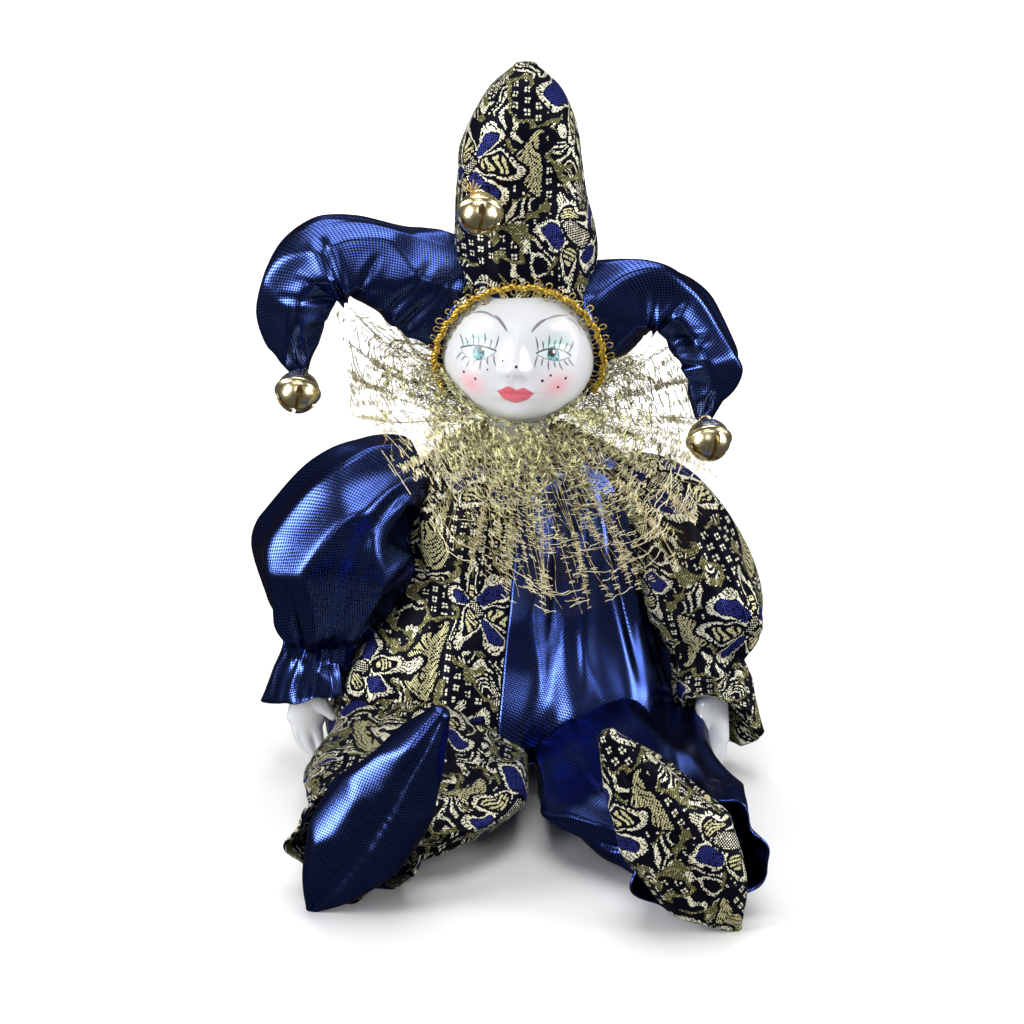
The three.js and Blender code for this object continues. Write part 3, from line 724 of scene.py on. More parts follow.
def noise(x, y, z, size, detail=2.0):
    """Smooth noise from 0 to 1 whose bumps are about size mm across."""
    tree = x.tree
    vector = tree.nodes.new("ShaderNodeCombineXYZ")
    feed(vector.inputs, (x, y, z))
    node = tree.nodes.new("ShaderNodeTexNoise")
    node.inputs["Scale"].default_value = 1 / size
    node.inputs["Detail"].default_value = detail
    tree.links.new(vector.outputs[0], node.inputs["Vector"])
    return Field(node.outputs[0])


def mixed(factor, low, high):
    """The colour low where factor is 0 and high where it is 1."""
    tree = factor.tree
    node = tree.nodes.new("ShaderNodeMix")
    node.data_type = "RGBA"
    tree.links.new(factor.socket, node.inputs[0])
    for slot, colour in ((node.inputs[6], low), (node.inputs[7], high)):
        if isinstance(colour, bpy.types.NodeSocket):
            tree.links.new(colour, slot)
        else:
            slot.default_value = (*colour, 1)
    return node.outputs[2]


def new_material(name, **values):
    """A material whose shader's own sockets hold these values."""
    material = bpy.data.materials.new(name)
    material.use_nodes = True
    shader = material.node_tree.nodes["Principled BSDF"]
    for key, value in values.items():
        socket = shader.inputs[key.replace("_", " ").title().replace("Ior", "IOR")]
        socket.default_value = (*value, 1) if isinstance(value, tuple) else value
    return material, shader


def shaded(colour, share):
    """A colour made darker, or lighter as far as white."""
    return tuple(min(1.0, c * share) for c in colour)


def relief(shader, height, depth):
    """Bumps on a surface; depth is in mm where height is 1."""
    tree = shader.id_data
    node = tree.nodes.new("ShaderNodeBump")
    node.inputs["Distance"].default_value = depth * MM
    tree.links.new(height.socket, node.inputs["Height"])
    tree.links.new(node.outputs[0], shader.inputs["Normal"])


def link(shader, **sockets):
    """Feeds fields or colours into a shader's sockets of these names."""
    for key, value in sockets.items():
        socket = value.socket if isinstance(value, Field) else value
        shader.id_data.links.new(socket, shader.inputs[key.replace("_", " ").title()])


# Finishes


def brush_stroke(x, y, start, end, bend, width):
    """A painted stroke that tapers at both ends and bows sideways by bend mm."""
    run, rise = end[0] - start[0], end[1] - start[1]
    length = math.hypot(run, rise)
    along = (x * run + y * rise - (start[0] * run + start[1] * rise)) / length**2
    aside = (x * rise - y * run - (start[0] * rise - start[1] * run)) / length
    belly = (along * (1 - along) * 4).most(0)
    half = belly ** 0.5 * (width / 2)
    return (half - abs(aside - belly * bend)).step(0, 0.12)


def spot(x, y, centre, radius, edge=0.12):
    """1 inside a round dot with a soft edge."""
    return (radius - span(x - centre[0], y - centre[1])).step(-edge, edge)


def soft_patch(x, y, centre, wide, high):
    """A sponged patch of colour that fades out evenly."""
    away = span((x - centre[0]) / wide, (y - centre[1]) / high)
    return (away * -1).step(-1, 0.15)


EYE_SHADOW = (0.42, 0.74, 0.68)
EYE_WHITE = (0.62, 0.72, 0.73)
IRIS = (0.045, 0.22, 0.26)
IRIS_RAYS = (0.24, 0.62, 0.64)
IRIS_RIM = (0.02, 0.08, 0.11)
PUPIL = (0.005, 0.008, 0.012)
GLINT = (0.95, 0.97, 1)
EYE_LINES = (0.03, 0.034, 0.042)
BROW = (0.09, 0.085, 0.09)
BEAUTY_SPOT = (0.02, 0.012, 0.03)
LASHES = 7
EYES = (
    {"inner": (-6.45, 3.0), "outer": (-20.5, 2.1), "rise": 1.2, "drop": 2.8,
     "iris": (-12.7, 2.0), "pupil": (-12.0, 2.9), "glint": (-11.2, 3.1), "shade": (-14.5, 4.8)},
    {"inner": (6.45, 3.0), "outer": (19.25, 1.9), "rise": 1.75, "drop": 1.5,
     "iris": (12.5, 2.6), "pupil": (12.1, 3.2), "glint": (12.7, 3.4), "shade": (14.0, 5.1)},
)
BROWS = (
    ((-3.3, 8.5), (-8.9, 12.9), 0.5, 1.05, 0.95),
    ((-7.4, 11.6), (-17.8, 12.6), 1.1, 0.8, 0.8),
    ((-13.0, 13.0), (-22.9, 10.0), 0.9, 0.65, 0.55),
    ((4.6, 8.6), (10.4, 12.5), -0.6, 1.05, 0.95),
    ((8.6, 11.8), (20.4, 12.9), -0.9, 0.75, 0.75),
    ((17.6, 12.5), (25.4, 6.4), -1.7, 0.7, 0.55),
)
BEAUTY_SPOTS = (
    (0.33, -0.22, 0.42), (-4.1, 0.67, 0.3), (-9.0, -2.8, 0.33), (-17.7, -4.9, 0.5),
    (-13.1, -6.3, 0.45), (8.9, -5.4, 0.5), (11.5, -3.6, 0.42), (17.1, -4.9, 0.5),
    (14.7, -7.8, 0.48),
)
BLUSH = ((-15.35, -8.4), (14.5, -7.4))
LIPS = {"left": (-6.2, -9.8), "right": (7.1, -10.05), "dip": (0.6, -8.9), "bottom": (0.9, -14.9)}


def painted_eye(x, y, eye, colour):
    """Paints one eye over a colour: shade, white, iris, pupil, lid lines and lashes."""
    (x0, y0), (x1, y1) = eye["inner"], eye["outer"]
    share = (x - x0) / (x1 - x0)
    arch = share * (1 - share) * 4
    corner_line = y0 + share * (y1 - y0)
    upper = corner_line + arch * eye["rise"]
    lower = corner_line - arch * eye["drop"]
    between = arch.step(0, 0.04)
    inside = (upper - y).step(0, 0.2) * (y - lower).step(0, 0.2) * between
    iris = spot(x, y, eye["iris"], 2.15) * (y - lower).step(0, 0.15)
    turn = bearing(y - eye["iris"][1], x - eye["iris"][0])
    rays = (turn * 9).sin().step(-0.3, 0.5)
    bright = rays * (eye["iris"][1] - y).step(-0.4, 0.7)
    rim = iris - spot(x, y, eye["iris"], 1.75)
    colour = mixed(soft_patch(x, y, eye["shade"], 8.6, 4.8) * 0.75, colour, EYE_SHADOW)
    colour = mixed(inside * 0.7, colour, EYE_WHITE)
    colour = mixed(iris, colour, IRIS)
    colour = mixed(iris * bright, colour, IRIS_RAYS)
    colour = mixed(rim * 0.8, colour, IRIS_RIM)
    colour = mixed(spot(x, y, eye["pupil"], 1.25), colour, PUPIL)
    colour = mixed(spot(x, y, eye["glint"], 0.42), colour, GLINT)
    lines = (0.36 - abs(y - upper)).step(0, 0.2) * between
    lines = lines.most((0.26 - abs(y - lower)).step(0, 0.2) * between * 0.6)
    for k in range(LASHES):
        at = 0.06 + 0.14 * k
        foot_x = x0 + at * (x1 - x0)
        line_y = y0 + at * (y1 - y0)
        lean = (at - 0.3) * (1 if x1 > x0 else -1) * 4.6
        longer = 1 + 0.22 * (-1) ** k
        for foot_y, height in (
            (line_y + 4 * at * (1 - at) * eye["rise"], 3.7),
            (line_y - 4 * at * (1 - at) * eye["drop"], -3.2),
        ):
            tip = (foot_x + lean, foot_y + height * longer * (1 - 0.3 * at))
            lash = brush_stroke(x, y, (foot_x, foot_y), tip, 0.25, 0.66)
            lines = lines.most(lash * (0.95 if height > 0 else 0.85))
    return mixed(lines * 0.92, colour, EYE_LINES)


def painted_lips(x, y):
    """A small bow of a mouth: 1 inside its outline."""
    (x0, y0), (x1, y1) = LIPS["left"], LIPS["right"]
    share = (x - x0) / (x1 - x0)
    arch = (share * (1 - share) * 4).most(0)
    corner_line = y0 + share * (y1 - y0)
    middle, depth = LIPS["dip"]
    rise = depth - y0 + 2.1
    notch = 1.35 * (abs(x - middle) * -1).step(-2.9, 0)
    upper = corner_line + arch**1.25 * rise - notch
    lower = corner_line - arch**1.25 * (y0 - LIPS["bottom"][1] - 0.1)
    return (upper - y).step(0, 0.25) * (y - lower).step(0, 0.25) * arch.step(0, 0.05)


def face_porcelain():
    """White glaze with the doll's face painted under it."""
    paint = bpy.context.scene.clown_porcelain
    material, shader = new_material("painted_porcelain", coat_weight=0.35, coat_roughness=0.12)
    x, y = surface(material, "face")
    cloud = noise(x, y, 2.0, 14)
    colour = mixed(cloud, shaded(paint.glaze, 0.97), tuple(paint.glaze))
    for centre in BLUSH:
        soft = soft_patch(x, y, centre, 12.5, 10.5)
        colour = mixed(soft * soft * 0.85, colour, tuple(paint.blush))
    for eye in EYES:
        colour = painted_eye(x, y, eye, colour)
    for start, end, bend, width, strength in BROWS:
        stroke = brush_stroke(x, y, start, end, bend, width)
        hairs = noise(x * 0.6, y * 3, 5.0, 0.7)
        colour = mixed(stroke * (0.6 + hairs * 0.5) * strength, colour, BROW)
    for cx, cy, radius in BEAUTY_SPOTS:
        colour = mixed(spot(x, y, (cx, cy), radius, 0.1), colour, BEAUTY_SPOT)
    lips = painted_lips(x, y)
    lip_shade = noise(x, y, 9.0, 1.6)
    deep = shaded(paint.lips, 0.8)
    painted = mixed(lip_shade, deep, tuple(paint.lips))
    colour = mixed(lips, colour, painted)
    link(shader, base_color=colour, roughness=0.3 + cloud * 0.08)
    return material


def plain_porcelain():
    """White glaze, slightly uneven, for the hands."""
    paint = bpy.context.scene.clown_porcelain
    material, shader = new_material("white_porcelain", coat_weight=0.6, coat_roughness=0.08)
    x, y, z = space(material)
    cloud = noise(x, y, z, 6)
    colour = mixed(cloud, shaded(paint.glaze, 0.94), tuple(paint.glaze))
    link(shader, base_color=colour, roughness=0.2 + cloud * 0.08)
    relief(shader, noise(x, y, z, 3), 0.05)
    return material


def satin():
    """Metallic satin: bright floats in a fine twill over a dark ground."""
    cloth = bpy.context.scene.clown_cloth
    material, shader = new_material(
        "blue_satin",
        metallic=1.0,
        specular_tint=(0.05, 0.045, 0.09),
        anisotropic=0.25,
        coat_weight=0.3,
        coat_roughness=0.3,
    )
    x, y = surface(material, "cloth")
    rate = 2 * math.pi / cloth.satin_pitch
    slub = noise(x * 0.15, y, 1.0, 1.1)
    twill = ((x + y * 0.55) * rate).sin() * ((x * 0.5 - y * 0.95) * rate).sin()
    float_share = (twill * 0.5 + 0.52 + (slub - 0.5) * 0.2).clamp()
    cloud = noise(x, y, 4.0, 9)
    dark = tuple(cloth.satin_ground)
    bright = tuple(cloth.satin_float)
    colour = mixed(float_share.step(0.42, 0.6), dark, bright)
    colour = mixed(cloud.step(0.5, 0.9) * 0.3, colour, dark)
    link(shader, base_color=colour, roughness=0.2 + (1 - float_share) * 0.08)
    relief(shader, twill * 0.8 + slub * 0.2, 0.022)
    return material


def hatch(column, row, slope, every, share):
    """Broken weave lines: 1 on the threads that lie on top."""
    return ((column + row * slope) / every).fract() < share


class Loom:
    """Lays woven areas over each other on a cloth, with every outline stepped to whole threads."""

    def __init__(self, x, y, pitch):
        self.column, self.row = (x / pitch).floor(), (y / pitch).floor()
        self.x, self.y = self.column * pitch, self.row * pitch
        self.twill = hatch(self.column, self.row, 1, 3, 0.62)
        self.dots = hatch(self.column, self.row, 0, 2, 0.5) * hatch(self.row, self.column, 0, 2, 0.5)
        self.grain = noise(self.x, self.y, 1.0, 0.75)
        self.broken = self.grain > 0.4

    def flowing(self, size, amount):
        """The cloth's coordinates, drawn out of line by up to amount."""
        return (
            self.x + (noise(self.x, self.y, 3.1, size) - 0.5) * amount,
            self.y + (noise(self.x, self.y, 8.7, size) - 0.5) * amount,
        )

    @staticmethod
    def repeat(x, y, wide, tall, shift=0.0):
        """Places in a half-drop repeat, from the middle of each unit."""
        across = x / wide + shift
        down = y / tall + across.floor() * 0.5
        return (across.fract() - 0.5) * wide, (down.fract() - 0.5) * tall


def brocade(name, shift):
    """Black ground woven with open flowers, feathered leaves, contour stripes and small sprigs."""
    cloth = bpy.context.scene.clown_cloth
    material, shader = new_material(name, specular_ior_level=0.06)
    x, y = surface(material, "cloth")
    loom = Loom(x + shift[0], y + shift[1], cloth.thread_pitch)
    twill, dots, broken, grain = loom.twill, loom.dots, loom.broken, loom.grain
    flow_x, flow_y = loom.flowing(24, 34.0)
    wide, tall = cloth.motif_width, cloth.motif_width * 1.2
    ground, gold, cream = tuple(cloth.ground), tuple(cloth.gold), tuple(cloth.cream)
    olive, blue = tuple(cloth.olive), tuple(cloth.brocade_blue)
    navy = shaded(blue, 0.1)

    # Contour stripes, sprigs of four dots and olive patches share the ground
    patches = noise(loom.x, loom.y, 12.0, 15)
    bands = (noise(flow_x, flow_y, 20.0, 16, 1.0) * 15).fract()
    striped = patches < 0.46
    colour = mixed((bands < 0.4) * striped * broken * (twill.most(grain > 0.55)), ground, cream)
    cell = 4.0
    sprig_x = ((loom.x / cell).fract() - 0.5) * cell
    sprig_y = ((loom.y / cell + (loom.x / cell).floor() * 0.5).fract() - 0.5) * cell
    sprig = span(abs(sprig_x) - 0.6, abs(sprig_y) - 0.6) < 0.45
    colour = mixed(sprig * (patches > 0.53) * broken, colour, cream)
    leaf = (patches > 0.46) * (patches < 0.515)
    colour = mixed(leaf, colour, ground)
    colour = mixed(leaf * twill, colour, olive)
    colour = mixed(leaf * dots * (grain > 0.55), colour, gold)

    # Leaves: gold feathers with dark ribs, in the gaps between the flowers
    leaf_x, leaf_y = loom.repeat(flow_x, flow_y, wide, tall, 0.5)
    curl = leaf_x + leaf_y * leaf_y * 0.035 - 1.5
    blade = span(curl / 5.2, leaf_y / 11.0)
    ribs = ((abs(curl) * 1.1 + leaf_y) / 2.3).fract() < 0.3
    colour = mixed(blade < 1.22, colour, ground)
    ribbed = 1 - ribs * (abs(curl) > 0.5)
    colour = mixed((blade < 1.0) * ribbed * twill * (grain > 0.36), colour, gold)

    # Flowers: six petals, blue and black in turn, in thick pale crescents round an eye
    flower_x, flower_y = loom.repeat(flow_x, flow_y, wide, tall)
    petal_middle, petal_length, petal_breadth = 9.3, 5.6, 4.3
    reach, turn = span(flower_x, flower_y), bearing(flower_y, flower_x)
    sixth = turn * (3 / math.pi)
    number = (sixth + 0.5).floor()
    off_axis = (sixth - number) * (math.pi / 3) * reach
    petal = span((reach - petal_middle) / petal_length, off_axis / petal_breadth)
    thick = 0.95 + ((reach - 8.5) / 6.0).clamp() * 0.34
    every_other = (number * 0.5).fract() < 0.25
    colour = mixed(petal < 1.6, colour, ground)
    teeth = (bearing(off_axis, reach - petal_middle) * 5.5).fract() < 0.66
    crescent = (petal > 0.84) * (petal < thick) * teeth.most(petal < 0.98)
    colour = mixed(crescent * (grain > 0.4), colour, cream)
    colour = mixed((petal < 0.78) * every_other, colour, navy)
    colour = mixed((petal < 0.78) * every_other * dots * (grain > 0.4), colour, blue)
    core = (petal < 0.6) * (1 - every_other) * (((reach - petal_middle) / 1.7).fract() < 0.55)
    colour = mixed(core * broken, colour, gold)
    colour = mixed(reach < 4.6, colour, ground)
    colour = mixed((reach < 3.4) * dots.most(grain > 0.62), colour, cream)

    metal = noise(loom.x, loom.y, 2.0, 1.2).step(0.2, 0.8) * 0.3 + 0.2
    link(shader, base_color=colour, metallic=metal, roughness=0.36 + grain * 0.2)
    relief(shader, twill * 0.6 + grain * 0.4, 0.16)
    return material


def brass():
    """Polished brass with faint lacquer clouds and fine scratches."""
    trim = bpy.context.scene.clown_trim
    material, shader = new_material("polished_brass", metallic=1.0)
    x, y, z = space(material)
    cloud = noise(x, y, z, 3)
    scratch = noise(x * 6, y, z * 0.5, 0.6)
    colour = mixed(cloud, tuple(trim.brass), shaded(trim.brass, 0.86))
    link(shader, base_color=colour, roughness=0.2 + scratch * 0.1)
    relief(shader, scratch, 0.008)
    return material


def metallic_thread(name, light, dark, roughness, size, metallic=0.8):
    """Metal-wrapped thread whose brightness changes along it: painted glints and painted shade, mixed
    at random over it.
    """
    material, shader = new_material(name, metallic=metallic)
    x, y, z = space(material)
    twinkle = noise(x, y, z, size)
    # Painted light: the colour runs at random from painted shade, the dark colour, to painted glints,
    # the light one
    colour = mixed(twinkle.step(0.35, 0.65), dark, light)
    link(shader, base_color=colour, roughness=roughness + twinkle * 0.15)
    relief(shader, noise(x, y, z, 0.25), 0.03)
    return material


def net_veil():
    """Fine open net: thin threads with holes between them."""
    trim = bpy.context.scene.clown_trim
    material, shader = new_material("gold_net", metallic=0.6)
    x, y = surface(material, "cloth")
    wander = noise(x, y, 6.0, 2.2)
    pitch, thickness = 1.1, 0.11
    one = ((x + y * 0.6) / pitch + wander * 1.6).fract()
    two = ((x * 0.7 - y) / pitch - wander * 1.4).fract()
    thread_share = (one < thickness).most(two < thickness)
    colour = mixed(wander, tuple(trim.net_dark), tuple(trim.net_light))
    opening = y.step(9, 22) * 0.74
    alpha = thread_share * (0.8 - opening) * 0.7
    link(shader, base_color=colour, roughness=0.35 + wander * 0.2, alpha=alpha)
    return material


# Settings


def tint(name, description, default):
    """A colour that a user can change."""
    return bpy.props.FloatVectorProperty(
        name=name, description=description, default=default, subtype="COLOR", min=0, max=1
    )


def millimetres(name, description, default, low, high):
    """A size in mm that a user can change."""
    return bpy.props.FloatProperty(
        name=name + " (mm)", description=description, default=default, min=low, max=high
    )


class ClownPorcelainSettings(bpy.types.PropertyGroup):
    glaze: tint("Glaze", "Colour of the white glaze", (0.65, 0.665, 0.69))
    lips: tint("Lips", "Colour of the painted lips", (0.74, 0.14, 0.19))
    blush: tint("Blush", "Colour of the painted cheeks", (0.85, 0.32, 0.38))


class ClownClothSettings(bpy.types.PropertyGroup):
    satin_float: tint("Satin float", "Bright threads of the satin", (0.06, 0.125, 0.52))
    satin_ground: tint("Satin ground", "Dark threads of the satin", (0.003, 0.003, 0.022))
    ground: tint("Brocade ground", "Ground of the brocade", (0.003, 0.003, 0.009))
    gold: tint("Brocade gold", "Gold threads of the brocade", (0.64, 0.61, 0.34))
    cream: tint("Brocade cream", "Palest threads of the brocade", (0.82, 0.80, 0.62))
    olive: tint("Brocade olive", "Olive threads of the brocade", (0.17, 0.165, 0.065))
    brocade_blue: tint("Brocade blue", "Blue threads of the brocade", (0.045, 0.06, 0.36))
    satin_pitch: millimetres("Satin weave", "Distance between floats", 1.4, 0.2, 2)
    thread_pitch: millimetres("Brocade weave", "Distance between threads", 0.38, 0.2, 2)
    motif_width: millimetres("Flower spacing", "Distance between flowers", 41, 10, 80)


class ClownTrimSettings(bpy.types.PropertyGroup):
    brass: tint("Brass", "Colour of the bells", (0.99, 0.84, 0.50))
    braid_light: tint("Braid light", "Bright side of the braid", (0.98, 0.72, 0.13))
    braid_dark: tint("Braid dark", "Dark side of the braid", (0.40, 0.21, 0.02))
    loop_light: tint("Loop light", "Bright side of the braid's loops", (0.88, 0.76, 0.28))
    # Along the ruff's threads these two are mixed as painted glints and painted shade; over the net
    # veil they are the net's own tones
    net_light: tint("Net light", "Bright threads of the ruff", (0.86, 0.74, 0.38))
    net_dark: tint("Net dark", "Dark threads of the ruff", (0.20, 0.14, 0.05))
    strip_light: tint("Pale strip", "Palest strips of the ruff", (1.0, 0.96, 0.72))
    loop_spacing: millimetres("Loop spacing", "Distance between loops of the braid", 4.2, 2, 10)
    chains: bpy.props.IntProperty(
        name="Chains", description="Chains of thread round the ruff", default=130, min=20, max=300
    )


class ClownStageSettings(bpy.types.PropertyGroup):
    camera_distance: millimetres("Camera distance", "From the camera to the doll", 1200, 300, 5000)
    camera_height: bpy.props.FloatProperty(
        name="Camera elevation", description="How far the camera looks down",
        default=math.radians(22), subtype="ANGLE",
    )
    floor: tint("Floor", "Colour of the floor", (0.93, 0.93, 0.93))


# Stage

CAMERA_TARGET = Vector((-2.7, -40, 103.43))
FOCAL_SHARE = 3600 / 1024  # focal length as a share of the frame's width
SENSOR_WIDTH = 36
FLOOR_HALF = 2500
ROOM_LIGHT = 0.08


def area_light(name, place, size, watts, height=None, target=CAMERA_TARGET, spread=180):
    """A softbox, in mm, that points at the doll or at another place."""
    data = bpy.data.lights.new(name, "AREA")
    data.shape = "RECTANGLE"
    data.size, data.size_y = size * MM, (height or size) * MM
    data.energy = watts
    data.spread = math.radians(spread)
    light = add_object(name, data)
    light.location = Vector(place) * MM
    away = light.location - Vector(target) * MM
    light.rotation_euler = away.to_track_quat("Z", "Y").to_euler()


class CLOWN_OT_stage(bpy.types.Operator):
    """Adds the camera, the soft light and the floor"""

    bl_idname = "clown_doll.stage"
    bl_label = "Stage"

    def execute(self, context):
        stage = context.scene.clown_stage
        data = bpy.data.cameras.new("camera")
        data.sensor_width = SENSOR_WIDTH
        data.lens = SENSOR_WIDTH * FOCAL_SHARE
        data.clip_start, data.clip_end = 0.05, 20
        camera = add_object("camera", data)
        rise = stage.camera_height
        back = Vector((0, -math.cos(rise), math.sin(rise)))
        camera.location = (CAMERA_TARGET + back * stage.camera_distance) * MM
        camera.rotation_euler = back.to_track_quat("Z", "Y").to_euler()
        context.scene.camera = camera

        area_light("key", (-980, -560, 640), 520, 9.5)
        area_light("right", (1000, -480, 460), 420, 6.5)
        area_light("front", (-120, -1130, 980), 500, 2)
        area_light("top", (0, 0, 1100), 800, 7)
        area_light("far_floor", (0, 1500, 1300), 1500, 30, target=(0, 1500, 0), spread=110)
        area_light("left_low", (-950, -420, 240), 260, 3)
        area_light("right_strip", (950, -60, 350), 200, 2.5, height=700)

        world = bpy.data.worlds.new("room")
        world.use_nodes = True
        background = world.node_tree.nodes["Background"]
        background.inputs["Color"].default_value = (1, 1, 1, 1)
        background.inputs["Strength"].default_value = ROOM_LIGHT
        context.scene.world = world
        context.scene.view_settings.view_transform = "Standard"

        ends = (-FLOOR_HALF, FLOOR_HALF)
        rows = np.array([[[x, y, 0] for x in ends] for y in ends], float)
        floor = patch("floor", rows)
        material, shader = new_material("pale_floor", roughness=0.75)
        x, y, z = space(material)
        shade = noise(x, y, z, 180)
        light = tuple(stage.floor)
        link(shader, base_color=mixed(shade, shaded(light, 0.97), light))
        floor.data.materials.append(material)
        floor.visible_glossy = False
        return {"FINISHED"}


# Porcelain

HEAD_TURN = np.array(
    Matrix.Rotation(HEAD_YAW, 3, "Z")
    @ Matrix.Rotation(HEAD_ROLL, 3, "Y")
    @ Matrix.Rotation(HEAD_PITCH, 3, "X")
)


def head_surface(longitude, latitude, grow, lift=0.0):
    """Points that lie grow and lift mm off the head's plain form."""
    level = np.cos(latitude)
    tall = np.where(latitude > 0, HEAD_ABOVE, HEAD_BELOW)
    local = np.stack(
        [
            np.sin(longitude) * level * (HEAD_ACROSS + grow + lift),
            -np.cos(longitude) * level * (HEAD_DEEP + grow + lift),
            np.sin(latitude) * (tall + grow + lift),
        ],
        axis=-1,
    )
    return local @ HEAD_TURN.T + np.array(HEAD_CENTRE)


def head_depth(points, grow):
    """Points in the head's own axes, and how far out they lie, where 1 is grow mm off it."""
    local = (points - np.array(HEAD_CENTRE)) @ HEAD_TURN
    tall = np.where(local[..., 2] > 0, HEAD_ABOVE, HEAD_BELOW)
    size = np.stack([np.full_like(tall, HEAD_ACROSS), np.full_like(tall, HEAD_DEEP), tall], -1)
    return local, np.linalg.norm(local / (size + grow), axis=-1)


def face_relief(across, up):
    """The face's relief in mm, by the arc across from its middle and up from eye level."""
    side = abs(across)
    bridge = 1.4 * hill(across, 2) * hill(up - 2.6, 4)
    tip = 3 * hill(across, 2.5) * hill(up + 1.4, 2.4)
    nostrils = hill(side - 2.9, 1.3) * hill(up + 2.6, 1.3)
    nostril_holes = -0.8 * hill(side - 1.6, 0.55) * hill(up + 3.9, 0.45)
    sockets = -1.1 * hill(side - 12.6, 4.8) * hill(up - 3.4, 3.2)
    lids = 0.8 * hill(side - 12.9, 3.6) * hill(up - 2.3, 1.9)
    lid_crease = -0.22 * hill(side - 12.8, 4.5) * hill(up - 5.6 + 0.035 * (side - 12.8) ** 2, 0.5)
    brow = 0.6 * hill(side - 11, 6) * hill(up - 10.5, 2.8)
    cheeks = 1.3 * hill(side - 14.5, 6) * hill(up + 7, 5.5)
    mouth = hill(across, 6.5) * hill(up + 10.5, 4)
    upper_lip = 0.8 * hill(side - 2.2, 2.3) * hill(up + 8.9, 0.9)
    lower_lip = 0.9 * hill(across, 3.2) * hill(up + 11.9, 1)
    parting = -0.5 * hill(across, 5) * hill(up + 10.4, 0.45)
    groove = -0.35 * hill(across, 0.8) * hill(up + 6.2, 1.3)
    under_lip = -0.7 * hill(across, 4) * hill(up + 14.6, 1.5)
    chin = 1.4 * hill(across, 5) * hill(up + 19.5, 3.2)
    return sum((
        bridge, tip, nostrils, nostril_holes, sockets, lids, lid_crease, brow, cheeks, mouth,
        upper_lip, lower_lip, parting, groove, under_lip, chin,
    ))


def turns(count):
    """Even steps of one full turn, without its end."""
    return np.arange(count) * (2 * math.pi / count)


def still(t, angle):
    """No folds."""
    return np.zeros_like(t)


class CLOWN_OT_head(bpy.types.Operator):
    """Makes the porcelain head and neck, with the painted face"""

    bl_idname = "clown_doll.head"
    bl_label = "Head"

    def execute(self, context):
        columns, count = 260, 170
        even = np.linspace(-math.pi, math.pi, columns + 1)
        longitude = even - 0.62 * np.sin(even)
        latitude = np.linspace(math.pi / 2, math.radians(-64), count)[1:]
        lat, lon = np.meshgrid(latitude, longitude, indexing="ij")
        across, up = lon * HEAD_DEEP, lat * HEAD_BELOW
        ball = head_surface(lon, lat, 0, face_relief(across, up))
        # Below the jaw each column runs on, in a hollow curve, down the side of the neck
        stations = np.array(NECK)[::-1]
        outward = np.stack([np.sin(longitude), -np.cos(longitude), np.zeros(columns + 1)], -1)
        share = np.linspace(0.3, 1, 26)
        centre, radius = through(stations[:, :3], share), through(stations[:, 3:4], share)
        neck = centre[:, None] + radius[:, None] * outward
        foot = ball[-1] * 0.45 + neck[0] * 0.55
        points = np.concatenate([ball, foot[None], neck])[:, :-1]
        flat = np.stack([across, up], axis=-1)
        off_face = np.full((len(neck) + 1, columns + 1, 2), -80.0)
        flat = np.concatenate([flat, off_face])
        head = skin("head_porcelain", points, flat=flat, layer="face")
        finish_piece(head, face_porcelain(), ["head"])
        return {"FINISHED"}


HAND_VOXEL = 0.42
HAND_LEFT = {
    "wrist": [-70.6, -11, 40, 5.4, 5.4],
    "palm": [[-73, -13, 26, 6.2, 5], [-74.6, -14.5, 15.5, 6.8, 3.8]],
    "fingers": [
        [[-77.2, -15, 10, 2.4, 2.5], [-74.8, -15.8, 4.6, 1.4, 1.4]],
        [[-74.2, -15.6, 9, 2.7, 2.7], [-71.8, -16.6, 1.8, 1.5, 1.5]],
        [[-71, -15.6, 11, 2.5, 2.5], [-69.4, -16.6, 5, 1.5, 1.5]],
    ],
    "thumb": [[-68.2, -16.8, 21, 2.7, 2.7], [-65, -18.4, 18, 1.6, 1.6]],
}
HAND_RIGHT = {
    "wrist": [65.8, -19, 37, 5.2, 5.2],
    "palm": [[66.4, -23, 24, 5.8, 4.8], [67, -27, 14, 5.6, 4.4]],
    "fingers": [
        [[68.4, -29, 8, 2.7, 2.7], [67.4, -30.4, 2.2, 1.4, 1.4]],
        [[65.6, -30.6, 8, 2.7, 2.7], [65.8, -31.6, 1.6, 1.4, 1.4]],
    ],
    "thumb": [[63.4, -27.6, 20.6, 2.9, 2.9], [62.9, -29, 15.4, 1.8, 1.8]],
}


def make_hand(name, node, hand, material):
    """A hand cast in one: limbs of the mould run into each other with rounded hollows."""
    palm = hand["palm"]
    limbs = [[hand["wrist"], *palm]]
    limbs += [[palm[1], *finger] for finger in hand["fingers"]]
    limbs.append([palm[0], *hand["thumb"]])
    piece = None
    for number, stations in enumerate(limbs):
        limb = Tube(stations, FORWARD)
        bulge = min(stations[-1][3:])
        rings = limb.closed(np.linspace(0, 1, 12), turns(24), still, (1.0, bulge))
        part = skin(f"limb_{number}", rings)
        piece = part if piece is None else combine(piece, part, "UNION")
    piece.name = name
    remesh = piece.modifiers.new("Cast", "REMESH")
    remesh.mode = "VOXEL"
    remesh.voxel_size = HAND_VOXEL * MM
    smooth = piece.modifiers.new("Glaze", "SMOOTH")
    smooth.factor = 0.5
    smooth.iterations = 7
    applied(piece)
    finish_piece(piece, material, [node])


class CLOWN_OT_hands(bpy.types.Operator):
    """Makes the two porcelain hands"""

    bl_idname = "clown_doll.hands"
    bl_label = "Hands"

    def execute(self, context):
        material = plain_porcelain()
        make_hand("porcelain_hand_left", "hand_left", HAND_LEFT, material)
        make_hand("porcelain_hand_right", "hand_right", HAND_RIGHT, material)
        return {"FINISHED"}


# Cap

CAP_CLOTH = 1.4
FAR = 300


